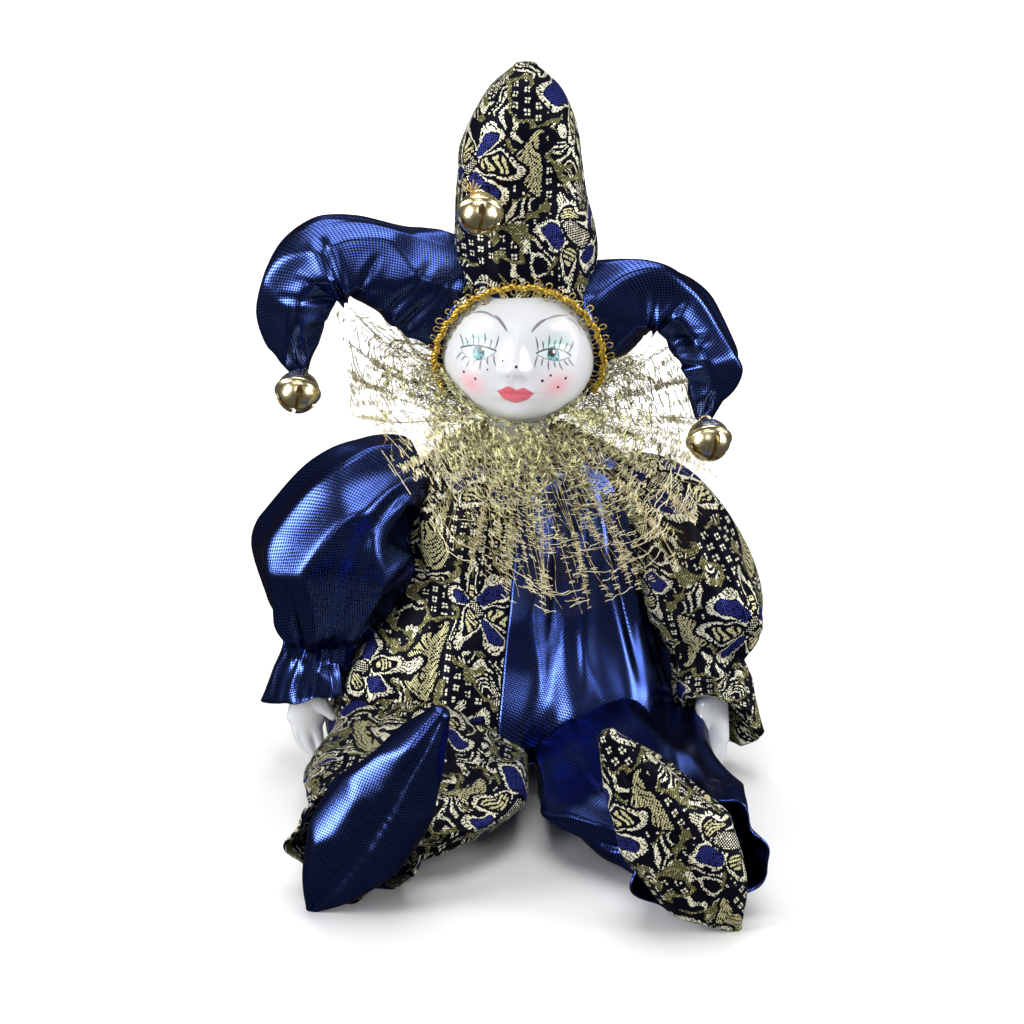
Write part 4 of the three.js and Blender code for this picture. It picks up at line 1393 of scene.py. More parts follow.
def block(point, direction):
    """A block that fills everything beyond a point in a direction."""
    work = bmesh.new()
    bmesh.ops.create_cube(work, size=2 * FAR * MM)
    turn = Vector(direction).to_track_quat("Z", "Y").to_matrix().to_4x4()
    place = Vector(point) * MM + Vector(direction).normalized() * FAR * MM
    bmesh.ops.transform(work, matrix=Matrix.Translation(place) @ turn, verts=work.verts)
    return built("block", work)


def hood(name, side=0):
    """The cap's cloth round the head, as a shell: the panel in its middle, or one side."""
    latitude = np.linspace(-math.pi / 2, math.pi / 2, 46)[1:-1]
    lat, lon = np.meshgrid(latitude, np.linspace(-math.pi, math.pi, 89), indexing="ij")
    outer = head_surface(lon, lat, CAP_OFF_HEAD)
    flat = np.stack([lon * HEAD_DEEP, -lat * HEAD_ABOVE], axis=-1)
    piece = skin(name, outer[:, :-1], flat=flat)
    lining = skin("lining", head_surface(lon, lat, CAP_OFF_HEAD - CAP_CLOTH)[:, :-1])
    combine(piece, lining, "DIFFERENCE")
    combine(piece, block(OPENING_POINT, OPENING_FACING), "DIFFERENCE")
    combine(piece, block((0, 0, NAPE_Z), (0, 0, -1)), "DIFFERENCE")
    if side:
        combine(piece, block((side * (PANEL_X + GAP), 0, 0), (-side, 0, 0)), "DIFFERENCE")
    else:
        combine(piece, block((PANEL_X, 0, 0), (1, 0, 0)), "DIFFERENCE")
        combine(piece, block((-PANEL_X, 0, 0), (-1, 0, 0)), "DIFFERENCE")
    return piece


# Each crease runs from one share of the length and angle to another, with a depth and width
CROWN_CREASES = [
    ((0.50, 82), (0.54, 20), 1.0, 1.8),
    ((0.50, 92), (0.44, 150), 1.0, 1.8),
    ((0.0, 40), (0.3, 60), 0.9, 2.2),
    ((0.0, 130), (0.26, 115), 0.9, 2.2),
    ((0.0, 15), (0.22, 25), 0.8, 2.0),
    ((0.72, 130), (0.62, 60), 0.7, 2.0),
    ((0.0, -90), (0.4, -80), 0.8, 2.4),
]
HORN_CREASES_LEFT = [
    ((0.47, 172), (0.50, 35), 1.9, 2.0),
    ((0.52, 162), (0.60, 75), 1.3, 1.8),
    ((0.62, 165), (0.66, 60), 1.2, 1.6),
    ((0.40, 172), (0.36, 60), 1.2, 1.8),
    ((0.22, 170), (0.16, 60), 1.4, 2.2),
    ((0.29, 170), (0.22, 45), 1.4, 2.2),
    ((0.97, 95), (0.66, 88), 0.8, 1.6),
    ((0.45, -160), (0.52, -70), 1.3, 2.0),
]
HORN_CREASES_RIGHT = [
    ((0.12, 8), (0.08, 120), 1.4, 2.2),
    ((0.36, 8), (0.33, 125), 1.8, 2.0),
    ((0.42, 8), (0.43, 130), 1.4, 1.8),
    ((0.52, 12), (0.56, 120), 1.3, 1.7),
    ((0.62, 10), (0.66, 90), 1.0, 1.5),
    ((0.97, 90), (0.72, 95), 0.8, 1.6),
    ((0.42, -15), (0.48, -110), 1.3, 2.0),
]


class CLOWN_OT_cap(bpy.types.Operator):
    """Makes the stuffed brocade crown and the two satin horns"""

    bl_idname = "clown_doll.cap"
    bl_label = "Cap"

    def execute(self, context):
        self.make_crown()
        cloth = satin()
        self.make_horn("cap_horn_left", "hat_horn_left", HORN_LEFT, HORN_CREASES_LEFT, -1, cloth)
        self.make_horn("cap_horn_right", "hat_horn_right", HORN_RIGHT, HORN_CREASES_RIGHT, 1, cloth)
        return {"FINISHED"}

    def make_crown(self):
        tube = Tube(CROWN, FORWARD)
        stiff = stiff_cloth(tube, 22, 0.6, 18, 5)

        def swell(t, angle):
            slump = 0.55 * np.sin(3 * angle + 9 * t) * np.sin(np.pi * t)
            pinch = -1.6 * hill(t - 0.5, 0.05) * hill(angle - 1.35, 0.9)
            soft = 0.35 * lumps(tube.wrap(t, angle, 22), 26, 4)
            soft += 1.2 * stiff(t, angle) * np.sin(np.pi * t)
            folds = creases(tube, t, angle, CROWN_CREASES)
            return slump + pinch + soft + folds

        t, angle = np.linspace(0.015, 1, 120), turns(144)
        crown = skin("cap_crown", tube.closed(t, angle, swell, (1.0, 1.6)), front=36)
        combine(crown, hood("cap_panel"), "UNION")
        finish_piece(crown, brocade("brocade_cap", (3, 9)), ["hat_crown"])

    def make_horn(self, name, node, stations, folds, side, material):
        tube = Tube(stations, FORWARD)
        stiff = stiff_cloth(tube, 14, 0.7, 13, 9 + side)

        def swell(t, angle):
            outside = np.cos(angle) * (-side)
            seam = -0.7 * hill(outside - 1, 0.02) * np.sin(np.pi * t)
            soft = 0.4 * lumps(tube.wrap(t, angle, 14), 24, 7 + side)
            soft += 2.1 * stiff(t, angle)
            return seam + soft * np.sin(np.pi * t) ** 0.5 + creases(tube, t, angle, folds)

        t, angle = np.linspace(0.03, 1, 150), turns(128)
        horn = skin(name, tube.closed(t, angle, swell, (1.0, 1.6)), front=32)
        combine(horn, hood(name + "_side", side), "UNION")
        finish_piece(horn, material, [node])


def opening_edge(angles, grow):
    """Points where the cap's opening plane meets the cap: angle 0 is over the forehead."""
    facing = np.array(OPENING_FACING, float)
    along = np.array([0, facing[2], -facing[1]])
    centre = np.array(OPENING_POINT, float) - along * HEAD_ABOVE
    direction = np.cos(angles)[:, None] * along + np.sin(angles)[:, None] * np.array([1.0, 0, 0])
    near, far = np.zeros(len(angles)), np.full(len(angles), 2.0 * HEAD_ABOVE)
    for _ in range(30):
        half = (near + far) / 2
        outside = head_depth(centre + direction * half[:, None], grow)[1] > 1
        near, far = np.where(outside, near, half), np.where(outside, half, far)
    return centre + direction * near[:, None], direction


STRANDS = 3
STRAND_RADIUS = 0.52
TWIST_LENGTH = 4.4
LOOP_THREAD_RADIUS = 0.22


class CLOWN_OT_braid(bpy.types.Operator):
    """Sews the twisted gold braid, with its small loops, round the cap's edge"""

    bl_idname = "clown_doll.braid"
    bl_label = "Braid"

    def execute(self, context):
        trim = context.scene.clown_trim
        gold = metallic_thread(
            "gold_braid", tuple(trim.braid_light), tuple(trim.braid_dark), 0.26, 0.9
        )
        angles = np.linspace(-BRAID_REACH, BRAID_REACH, 620)
        edge, outward = opening_edge(angles, CAP_OFF_HEAD)
        facing = unit(np.array(OPENING_FACING, float))
        middle = edge + facing * 1.5
        run = arc_lengths(middle[None], 1)[0]
        wander = 0.35 * np.sin(run * 0.9) + 0.2 * np.sin(run * 2.3 + 1)
        middle = middle + outward * wander[:, None]
        strands = []
        for k in range(STRANDS):
            turn = run * (2 * math.pi / TWIST_LENGTH) + k * 2 * math.pi / STRANDS
            strands.append(
                middle + outward * (0.66 * np.cos(turn))[:, None]
                + facing * (0.4 * np.sin(turn))[:, None]
            )
        cord = thread("gold_cord", strands, STRAND_RADIUS, gold, sides=6)
        finish_piece(cord, gold, ["hat_braid"])
        ring = np.array([
            [1.15 * math.sin(a) * (0.75 + 0.25 * math.cos(a)), 1.25 - 1.35 * math.cos(a), 0]
            for a in np.linspace(-2.75, 2.75, 13)
        ])
        ring[:, 1] = 2.6 - ring[:, 1]
        pale = metallic_thread(
            "gold_loops", tuple(trim.loop_light), tuple(trim.braid_dark), 0.28, 0.9
        )
        loop = thread("loop", [ring[::-1]], LOOP_THREAD_RADIUS, pale, sides=4)
        for name, side in (("outer_loops", 1), ("inner_loops", -1)):
            path = wires(
                name,
                [(middle + outward * (side * 0.7))[::side]],
                facing=[np.tile(facing, (len(middle), 1))],
            )
            run_tree(
                path, along_tree(), item=loop, spacing=trim.loop_spacing * MM, size_change=0.25,
                turn=0.5, seed=3 + side, material=pale,
            )
            finish_piece(path, pale)
        bpy.data.objects.remove(loop)
        return {"FINISHED"}


# Bells

BELL_WALL = 0.55
BELL_RIDGE = 0.6
SLOT_WIDTH = 1.25
SLOT_TURN = 0.25
HOLE_RADIUS = 1.25
BELL_LOOP_RADIUS = 2.0
BELL_LOOP_HEIGHT = 8.3
BELL_WIRE_RADIUS = 0.5
TUFT_THREAD_RADIUS = 0.24
# The straw thread's light and dark are mixed at random along it as painted glints and painted shade
STRAW_LIGHT = (0.75, 0.55, 0.22)
STRAW_DARK = (0.4, 0.24, 0.07)
TUFT_ENDS = [(-3.4, 3.6), (-2.1, 4.8), (-0.6, 3.4), (0.4, 5.0), (1.6, 3.8), (2.8, 3.2)]


def lathe(name, outline, sides):
    """Turns an outline of (radius, height) points round the Z axis."""
    outline = np.array(outline, float)
    angle = turns(sides)
    rows = np.stack([
        outline[:, :1] * np.cos(angle), outline[:, :1] * np.sin(angle),
        np.repeat(outline[:, 1:], sides, axis=1),
    ], axis=-1)
    return skin(name, rows)


def ball_outline(radius, ridge, count):
    """Half a ball's outline from below to above, with a rounded ridge round its middle."""
    angle = np.linspace(-math.pi / 2, math.pi / 2, count + 2)[1:-1]
    out = radius + ridge * np.exp(-((angle * radius / 0.62) ** 4))
    return np.stack([np.cos(angle) * out, np.sin(angle) * out], axis=-1)


class CLOWN_OT_bells(bpy.types.Operator):
    """Makes the three brass jingle bells"""

    bl_idname = "clown_doll.bells"
    bl_label = "Bells"

    def execute(self, context):
        metal = brass()
        for side, (place, tilt) in BELLS.items():
            self.make_bell(f"jingle_bell_{side}", f"bell_{side}", place, tilt, metal)
        # The ends of the thread that holds the front bell stand up over it
        straw = metallic_thread("straw_thread", STRAW_LIGHT, STRAW_DARK, 0.45, 1.0, 0.2)
        knot = np.array(BELLS["front"][0]) + np.array([-2.4, 1.6, 6.4])
        lines = [
            [knot, knot + [0.5 * x, -0.6, 0.5 * z], knot + [x, -1.4, z]] for x, z in TUFT_ENDS
        ]
        tuft = thread("bell_thread", np.array(lines), TUFT_THREAD_RADIUS, straw, sides=5)
        finish_piece(tuft, straw)
        return {"FINISHED"}

    def make_bell(self, name, node, place, tilt, metal):
        bell = lathe(name, ball_outline(BELL_RADIUS, BELL_RIDGE, 60), 72)
        combine(bell, lathe("inside", ball_outline(BELL_RADIUS - BELL_WALL, 0, 30), 48), "DIFFERENCE")
        for turn in (SLOT_TURN, SLOT_TURN + math.pi / 2):
            cutter = self.slot_cutter()
            cutter.data.transform(Matrix.Rotation(turn, 4, "Z"))
            combine(bell, cutter, "DIFFERENCE")
        angle = turns(28)
        ring = np.stack([
            BELL_LOOP_RADIUS * np.cos(angle),
            np.zeros_like(angle),
            BELL_LOOP_HEIGHT + BELL_LOOP_RADIUS * np.sin(angle),
        ], axis=-1)
        # The wire ends where it starts
        ring = [np.concatenate([ring, ring[:1]])]
        loop = thread("bell_loop", ring, BELL_WIRE_RADIUS, metal, sides=10)
        combine(bell, loop, "UNION")
        turn = Matrix.Rotation(tilt[0], 4, "X") @ Matrix.Rotation(tilt[1], 4, "Y")
        turn = turn @ Matrix.Rotation(tilt[2], 4, "Z")
        bell.data.transform(Matrix.Translation(Vector(place) * MM) @ turn)
        finish_piece(bell, metal, [node])
        bell.data.set_sharp_from_angle(angle=math.radians(35))

    def slot_cutter(self):
        """A slot across the bottom of the ball that ends in a round hole on both sides."""
        work = bmesh.new()
        reach = BELL_RADIUS * 0.86
        for x in (reach, -reach):
            made = bmesh.ops.create_cone(
                work, cap_ends=True, segments=16, radius1=HOLE_RADIUS * MM, radius2=HOLE_RADIUS * MM,
                depth=4 * MM,
            )
            away = Matrix.Translation(Vector((x, 0, -0.52 * BELL_RADIUS)) * MM)
            aim = Matrix.Rotation(math.copysign(math.radians(58), x), 4, "Y")
            bmesh.ops.transform(work, matrix=away @ aim, verts=made["verts"])
        cutter = built("holes", work)
        work = bmesh.new()
        bmesh.ops.create_cube(work, size=1)
        size = Matrix.Diagonal((2 * reach * MM, SLOT_WIDTH * MM, BELL_RADIUS * MM, 1))
        lower = Matrix.Translation(Vector((0, 0, -BELL_RADIUS)) * MM)
        bmesh.ops.transform(work, matrix=lower @ size, verts=work.verts)
        return combine(cutter, built("slot", work), "UNION")


# Suit

OFF_FLOOR = 0.02
COLUMNS_ON_CLOTH = 150
COLUMNS_ON_SEAM = 16
HEM_HOLLOW = 0.3
HEM_WALL = 1.2
FRILL_WALL = 0.9
JACKET_CREASES = {
    -1: [
        ((0.9, 125), (0.35, 112), 1.6, 2.6),
        ((0.62, 165), (0.35, 130), 1.8, 2.8),
        ((0.0, 118), (0.42, 124), 2.0, 3.2),
        ((0.0, 150), (0.36, 142), 2.2, 3.4),
    ],
    1: [
        ((0.80, 60), (0.30, 78), 1.6, 2.2),
        ((0.72, 48), (0.16, 66), 2.2, 2.6),
        ((0.62, 30), (0.12, 50), 2.4, 3.0),
        ((0.55, 18), (0.10, 34), 2.4, 3.0),
        ((0.0, 84), (0.30, 76), 1.6, 2.8),
        ((0.0, 58), (0.34, 62), 1.8, 2.8),
    ],
}
SLEEVE_CREASES_LEFT = [
    ((0.10, 96), (0.70, 104), 1.7, 2.8),
    ((0.60, 112), (0.74, 110), 1.4, 2.0),
    ((0.74, 70), (0.50, 55), 1.6, 1.8),
    ((0.74, 40), (0.54, 20), 1.6, 1.8),
    ((0.74, 130), (0.52, 145), 1.5, 1.8),
    ((0.74, 100), (0.58, 92), 1.4, 1.5),
    ((0.30, 165), (0.46, 120), 1.2, 2.2),
    ((0.74, 160), (0.6, 172), 1.3, 1.6),
]
SLEEVE_CREASES_RIGHT = [
    ((0.15, 70), (0.50, 84), 1.5, 2.4),
    ((0.20, 120), (0.62, 112), 1.5, 2.4),
    ((0.74, 60), (0.50, 48), 1.4, 1.8),
    ((0.74, 100), (0.52, 104), 1.5, 1.8),
    ((0.74, 140), (0.56, 152), 1.4, 1.8),
    ((0.40, 150), (0.56, 110), 1.2, 2.2),
]
LEG_CREASES = [
    ((0.84, 60), (0.62, 50), 1.6, 2.4),
    ((0.84, 90), (0.60, 95), 1.6, 2.4),
    ((0.84, 120), (0.64, 132), 1.5, 2.2),
    ((0.40, 60), (0.66, 70), 1.6, 3.0),
    ((0.42, 120), (0.70, 110), 1.5, 3.0),
]


class CLOWN_OT_jacket(bpy.types.Operator):
    """Makes the jacket: a brocade half and a satin half that meet at a middle seam"""

    bl_idname = "clown_doll.jacket"
    bl_label = "Jacket"

    def execute(self, context):
        self.make_half("coat_left", "jacket_left", -1, brocade("brocade_coat", (11, 4)), "brocade")
        self.make_half("coat_right", "jacket_right", 1, satin(), "satin")
        return {"FINISHED"}

    @staticmethod
    def swell(tube, side):
        stiff = stiff_cloth(tube, 36, 0.5, 17, 60)
        depth = 1.4 if side < 0 else 3.0

        def field(t, angle):
            ring = tube.wrap(t, angle, 36)
            hem = (1 - t) ** 1.4 * (
                2.2 * np.cos(7 * angle + 0.6) + 1.3 * np.cos(11 * angle + 2 + 2 * t)
            )
            body = depth * stiff(t, angle) + 0.5 * lumps(ring, 26, 31)
            return hem + body + creases(tube, t, angle, JACKET_CREASES[side])

        return field

    def make_half(self, name, node, side, material, slot):
        tube = Tube(JACKET, FORWARD)
        swell = self.swell(tube, side)
        t, fine = np.linspace(0, 0.97, 130), turns(720)
        outside = self.half_rings(tube.rings(t, fine, swell), side, 0)
        inside = self.half_rings(
            tube.rings(t[t <= HEM_HOLLOW][::-1], fine, swell, HEM_WALL), side, 1.0
        )
        top = outside[-1:] * 0.5 + outside[-1].mean(0) * 0.5 + np.array([0, 0, 0.6])
        rows = np.concatenate([top, outside[::-1], inside[::-1]])
        piece = skin(name, rows)
        finish_piece(piece, material, [node])

    @staticmethod
    def half_rings(rings, side, inset):
        """Cuts each ring along the seam plane and keeps the half on one side, as a closed D."""
        made = []
        for ring in rings:
            plane = SEAM_X + (ring[:, 2] - SEAM_Z) * math.tan(SEAM_TILT)
            plane += side * (GAP / 2 + inset)
            beyond = (ring[:, 0] - plane) * side
            kept = beyond > 0
            start = int(np.nonzero(kept & ~np.roll(kept, 1))[0][0])
            order = (start + np.arange(int(kept.sum()))) % len(ring)
            before, after = (start - 1) % len(ring), (order[-1] + 1) % len(ring)
            ends = []
            for out, within in ((before, order[0]), (after, order[-1])):
                share = beyond[within] / (beyond[within] - beyond[out])
                ends.append(ring[within] + (ring[out] - ring[within]) * share)
            arc = np.concatenate([[ends[0]], ring[order], [ends[1]]])
            run = arc_lengths(arc[None], 1)[0]
            place = np.linspace(0, run[-1], COLUMNS_ON_CLOTH)
            arc = np.stack([np.interp(place, run, arc[:, k]) for k in range(3)], axis=-1)
            share = np.linspace(0, 1, COLUMNS_ON_SEAM + 2)[1:-1, None]
            made.append(np.concatenate([arc, arc[-1] + (arc[0] - arc[-1]) * share]))
        return np.array(made)


def gathers(t, angle, count, at, phase):
    """Pleats at elastic and the folds of the frill beyond it."""
    uneven = angle + 0.12 * np.sin(2 * angle + 1) + 0.09 * np.sin(5 * angle + phase)
    pleats = 0.5 * hill(t - at, 0.05) * np.cos(3 * count * uneven + phase)
    pleats += 1.3 * hill(t - at, 0.1) * np.cos(count * uneven + phase)
    free = np.clip((t - at) / (1 - at), 0, 1)
    return pleats + 1.6 * free * np.cos(5 * angle + phase) + 0.9 * free * np.cos(9 * angle + 2 * phase)


def puffed(tube, stiff, depth, gathered, folds, body):
    """The swell of a sleeve or leg: its body, crisp facets depth mm high, gathers and creases.
    gathered holds the number of pleats, where the elastic lies and where the pleats start."""
    count, at, phase = gathered

    def swell(t, angle):
        crisp = depth * stiff(t, angle) * np.sin(np.pi * t) ** 0.5
        pleats = gathers(t, angle, count, at, phase)
        return body(t, angle) + crisp + pleats + creases(tube, t, angle, folds)

    return swell


class CLOWN_OT_sleeves(bpy.types.Operator):
    """Makes the two puff sleeves with their gathered frills"""

    bl_idname = "clown_doll.sleeves"
    bl_label = "Sleeves"

    def execute(self, context):
        left = Tube(SLEEVE_LEFT, FORWARD)
        right = Tube(SLEEVE_RIGHT, FORWARD)
        swell_left = puffed(
            left, stiff_cloth(left, 24, 0.6, 19, 62), 3.8, (8, WRIST_AT, 0.3), SLEEVE_CREASES_LEFT,
            lambda t, angle: 1.2 * np.sin(np.pi * t) ** 2 * np.cos(3 * angle + 5 * t),
        )
        swell_right = puffed(
            right, stiff_cloth(right, 18, 0.6, 15, 15), 2.0, (7, WRIST_AT, 1.3), SLEEVE_CREASES_RIGHT,
            lambda t, angle: 1.4 * np.sin(np.pi * t) * np.cos(4 * angle - 6 * t),
        )
        t, angle = np.linspace(0, 1, 170), turns(160)
        rows = left.frilled(t, angle, swell_left, FRILL_WALL, 0.8, (5, -40, -2.5))
        piece = skin("puff_sleeve_left", rows, front=40)
        finish_piece(piece, satin(), ["sleeve_left"])
        rows = right.frilled(t, angle, swell_right, FRILL_WALL, 0.8, (12, -120, -1))
        piece = skin("puff_sleeve_right", rows, front=40)
        cloth = brocade("brocade_sleeve", (7, 2))
        finish_piece(piece, cloth, ["sleeve_right"])
        return {"FINISHED"}


class CLOWN_OT_trousers(bpy.types.Operator):
    """Makes the two halves of the trousers with their gathered frills"""

    bl_idname = "clown_doll.trousers"
    bl_label = "Trousers"

    def execute(self, context):
        self.make_leg(
            "breeches_left", "trouser_left", TROUSER_LEFT, 0.5, -1,
            brocade("brocade_breeches", (17, 21)), "brocade",
        )
        self.make_leg(
            "breeches_right", "trouser_right", TROUSER_RIGHT, 2.1, 1, satin(), "satin"
        )
        return {"FINISHED"}

    def make_leg(self, name, node, stations, phase, side, material, slot):
        tube = Tube(stations, UP)
        swell = puffed(
            tube, stiff_cloth(tube, 24, 0.6, 16, 40 + side), 2.4 + 0.8 * side,
            (8, ANKLE_AT, phase), LEG_CREASES,
            lambda t, angle: 1.2 * np.sin(np.pi * t) * np.cos(5 * angle + 4 * t + phase),
        )
        t, angle = np.linspace(0, 1, 180), turns(160)
        rows = tube.frilled(t, angle, swell, FRILL_WALL, 0.91)
        rows[..., 2] = np.maximum(rows[..., 2], OFF_FLOOR)
        # Neither leg crosses the seam between them
        inner_limit = np.maximum if side > 0 else np.minimum
        rows[..., 0] = inner_limit(rows[..., 0], CROTCH_X + side * GAP / 2)
        piece = skin(name, rows, front=40)
        finish_piece(piece, material, [node])


class CLOWN_OT_shoes(bpy.types.Operator):
    """Makes the two stuffed shoes"""

    bl_idname = "clown_doll.shoes"
    bl_label = "Shoes"

    def execute(self, context):
        self.make_shoe("stuffed_shoe_left", "shoe_left", SHOE_LEFT, satin(), "satin", 51)
        cloth = brocade("brocade_shoe", (1, 14))
        self.make_shoe("stuffed_shoe_right", "shoe_right", SHOE_RIGHT, cloth, "brocade", 57)
        return {"FINISHED"}

    def make_shoe(self, name, node, shoe, material, slot, seed):
        heel, toe, ankle = (np.array(shoe[key], float) for key in ("heel", "toe", "ankle"))
        shares = np.linspace(0, 1, len(SHOE_LEAF))
        stations = [[*(heel + (toe - heel) * s), *size] for s, size in zip(shares, SHOE_LEAF)]
        tube = Tube(stations, FORWARD)
        stiff = stiff_cloth(tube, 13, 0.7, 14, seed)

        def swell(t, angle):
            seam = -1.7 * hill(np.sin(angle) - 1, 0.016) * np.sin(np.pi * t) ** 0.5
            wander = np.cos(t * tube.length * 1.5 + 2 * np.sin(t * 23))
            puckers = 0.15 * hill(np.sin(angle) - 1, 0.05) * wander * np.sin(np.pi * t)
            edge_seam = -0.6 * hill(abs(np.cos(angle)) - 1, 0.01) * np.sin(np.pi * t)
            return seam + puckers + edge_seam + 1.7 * stiff(t, angle) * np.sin(np.pi * t)

        t, angle = np.linspace(0.02, 1, 150), turns(136)
        body = skin(name, tube.closed(t, angle, swell, (1.0, 2.0)), front=34)
        start = heel + (toe - heel) * 0.36
        stalk = Tube([
            [*start, 9, 9], [*((start + ankle) / 2), 9.5, 9], [*ankle, 9.5, 8.5]
        ], UP)
        rings = stalk.closed(np.linspace(0, 1, 24), turns(72), still, (0.5, 0.5))
        combine(body, skin("ankle", rings), "UNION")
        place = np.empty(len(body.data.vertices) * 3)
        body.data.vertices.foreach_get("co", place)
        place[2::3] = np.maximum(place[2::3], OFF_FLOOR * MM)
        body.data.vertices.foreach_set("co", place)
        finish_piece(body, material, [node])


# Ruff

RUFF_OFF_HEAD = 1.0
COLLAR_NECK_RADIUS = 11
COLLAR_REACH = 0.66


def round_ring(points, turn):
    """A smooth ring through points at each turn, the angle there, and the level way outward."""
    angle = 2 * math.pi * turn
    ring = np.array(points * 3, float)
    place = through(ring, (turn % 1 + 1) * (len(points) / (len(ring) - 1)))
    outward = np.stack([np.sin(angle), -np.cos(angle), np.zeros_like(angle)], axis=-1)
    return place, angle, outward


def bowed(start, middle, end, out):
    """The place at each out, from 0 to 1, of a curve from start to end that bows to middle."""
    o = out[..., None]
    return start * (1 - o) ** 2 + middle * 2 * o * (1 - o) + end * o**2


def ruff_points(turn, out, lift=0.0, phase=0.0):
    """Points of the net: turn from 0 at the front to 1, out from 0 at the neck to 1 at its edge,
    and lift, in mm, off its middle."""
    turn, out = np.broadcast_arrays(np.asarray(turn, float), np.asarray(out, float))
    edge, angle, outward = round_ring(RUFF_EDGE, turn)
    neck = np.array(RUFF_NECK) + RUFF_NECK_RADIUS * outward
    bow = (neck + edge) / 2 + 7 * outward
    bow[..., 2] += -1 + 7 * np.cos(angle)
    wave = np.sin(RUFF_WAVES * angle + 0.8 + phase) + 0.4 * np.sin(2 * RUFF_WAVES * angle + phase)
    tilt = (0.5 + 0.5 * np.cos(angle))[..., None]
    upward = np.stack([0.35 * outward[..., 0], 0.35 * outward[..., 1], np.full_like(angle, 0.9)], -1)
    normal = unit(upward * (1 - tilt) + outward * tilt)
    height = (0.5 + 3.2 * out) * wave * 0.7 + lift
    return bowed(neck, bow, edge, out) + normal * height[..., None]


def clear_of_head(points):
    """Moves points that lie in the head out to RUFF_OFF_HEAD mm off it."""
    local, depth = head_depth(points, RUFF_OFF_HEAD)
    depth = depth[..., None]
    local = np.where(depth < 1, local / np.maximum(depth, 0.2), local)
    return local @ HEAD_TURN.T + np.array(HEAD_CENTRE)


# The crest of the bunched net under the chin, every 30 degrees from the front to the right
COLLAR_CREST = [
    [1, -30, 122.8],
    [14, -27, 124.8],
    [23.5, -18, 132.5],
    [27.5, -6, 137],
    [25, 8, 137],
    [15, 18, 136],
    [0, 22, 135],
    [-15, 18, 136],
    [-25, 8, 139],
    [-28.5, -7, 144],
    [-24, -18, 140.5],
    [-12.5, -28, 128.8],
]


def collar_points(turn, out, lift):
    """Points of the bunched collar: out of the neck, over its crest and down on to the net."""
    turn, out = np.broadcast_arrays(np.asarray(turn, float), np.asarray(out, float))
    crest, angle, outward = round_ring(COLLAR_CREST, turn)
    neck = np.array(RUFF_NECK) + COLLAR_NECK_RADIUS * outward
    far = ruff_points(turn, np.full_like(turn, COLLAR_REACH), 2.5, 0.6)
    place = bowed(neck, 2 * crest - (neck + far) / 2, far, out)
    bunch = 0.8 * np.sin(13 * angle + 5 * out) * np.sin(np.pi * out) + 0.5 * lift
    swell = unit(outward + np.array([0, 0, 0.8]))
    return clear_of_head(place + swell * bunch[..., None])


FOLDS_IN_NET = 24
THREAD_RADIUS = 0.09
STRIP_FLATNESS = 0.4
BRIGHT_STRIP_RADIUS = 0.3
PALE_STRIP_RADIUS = 0.25


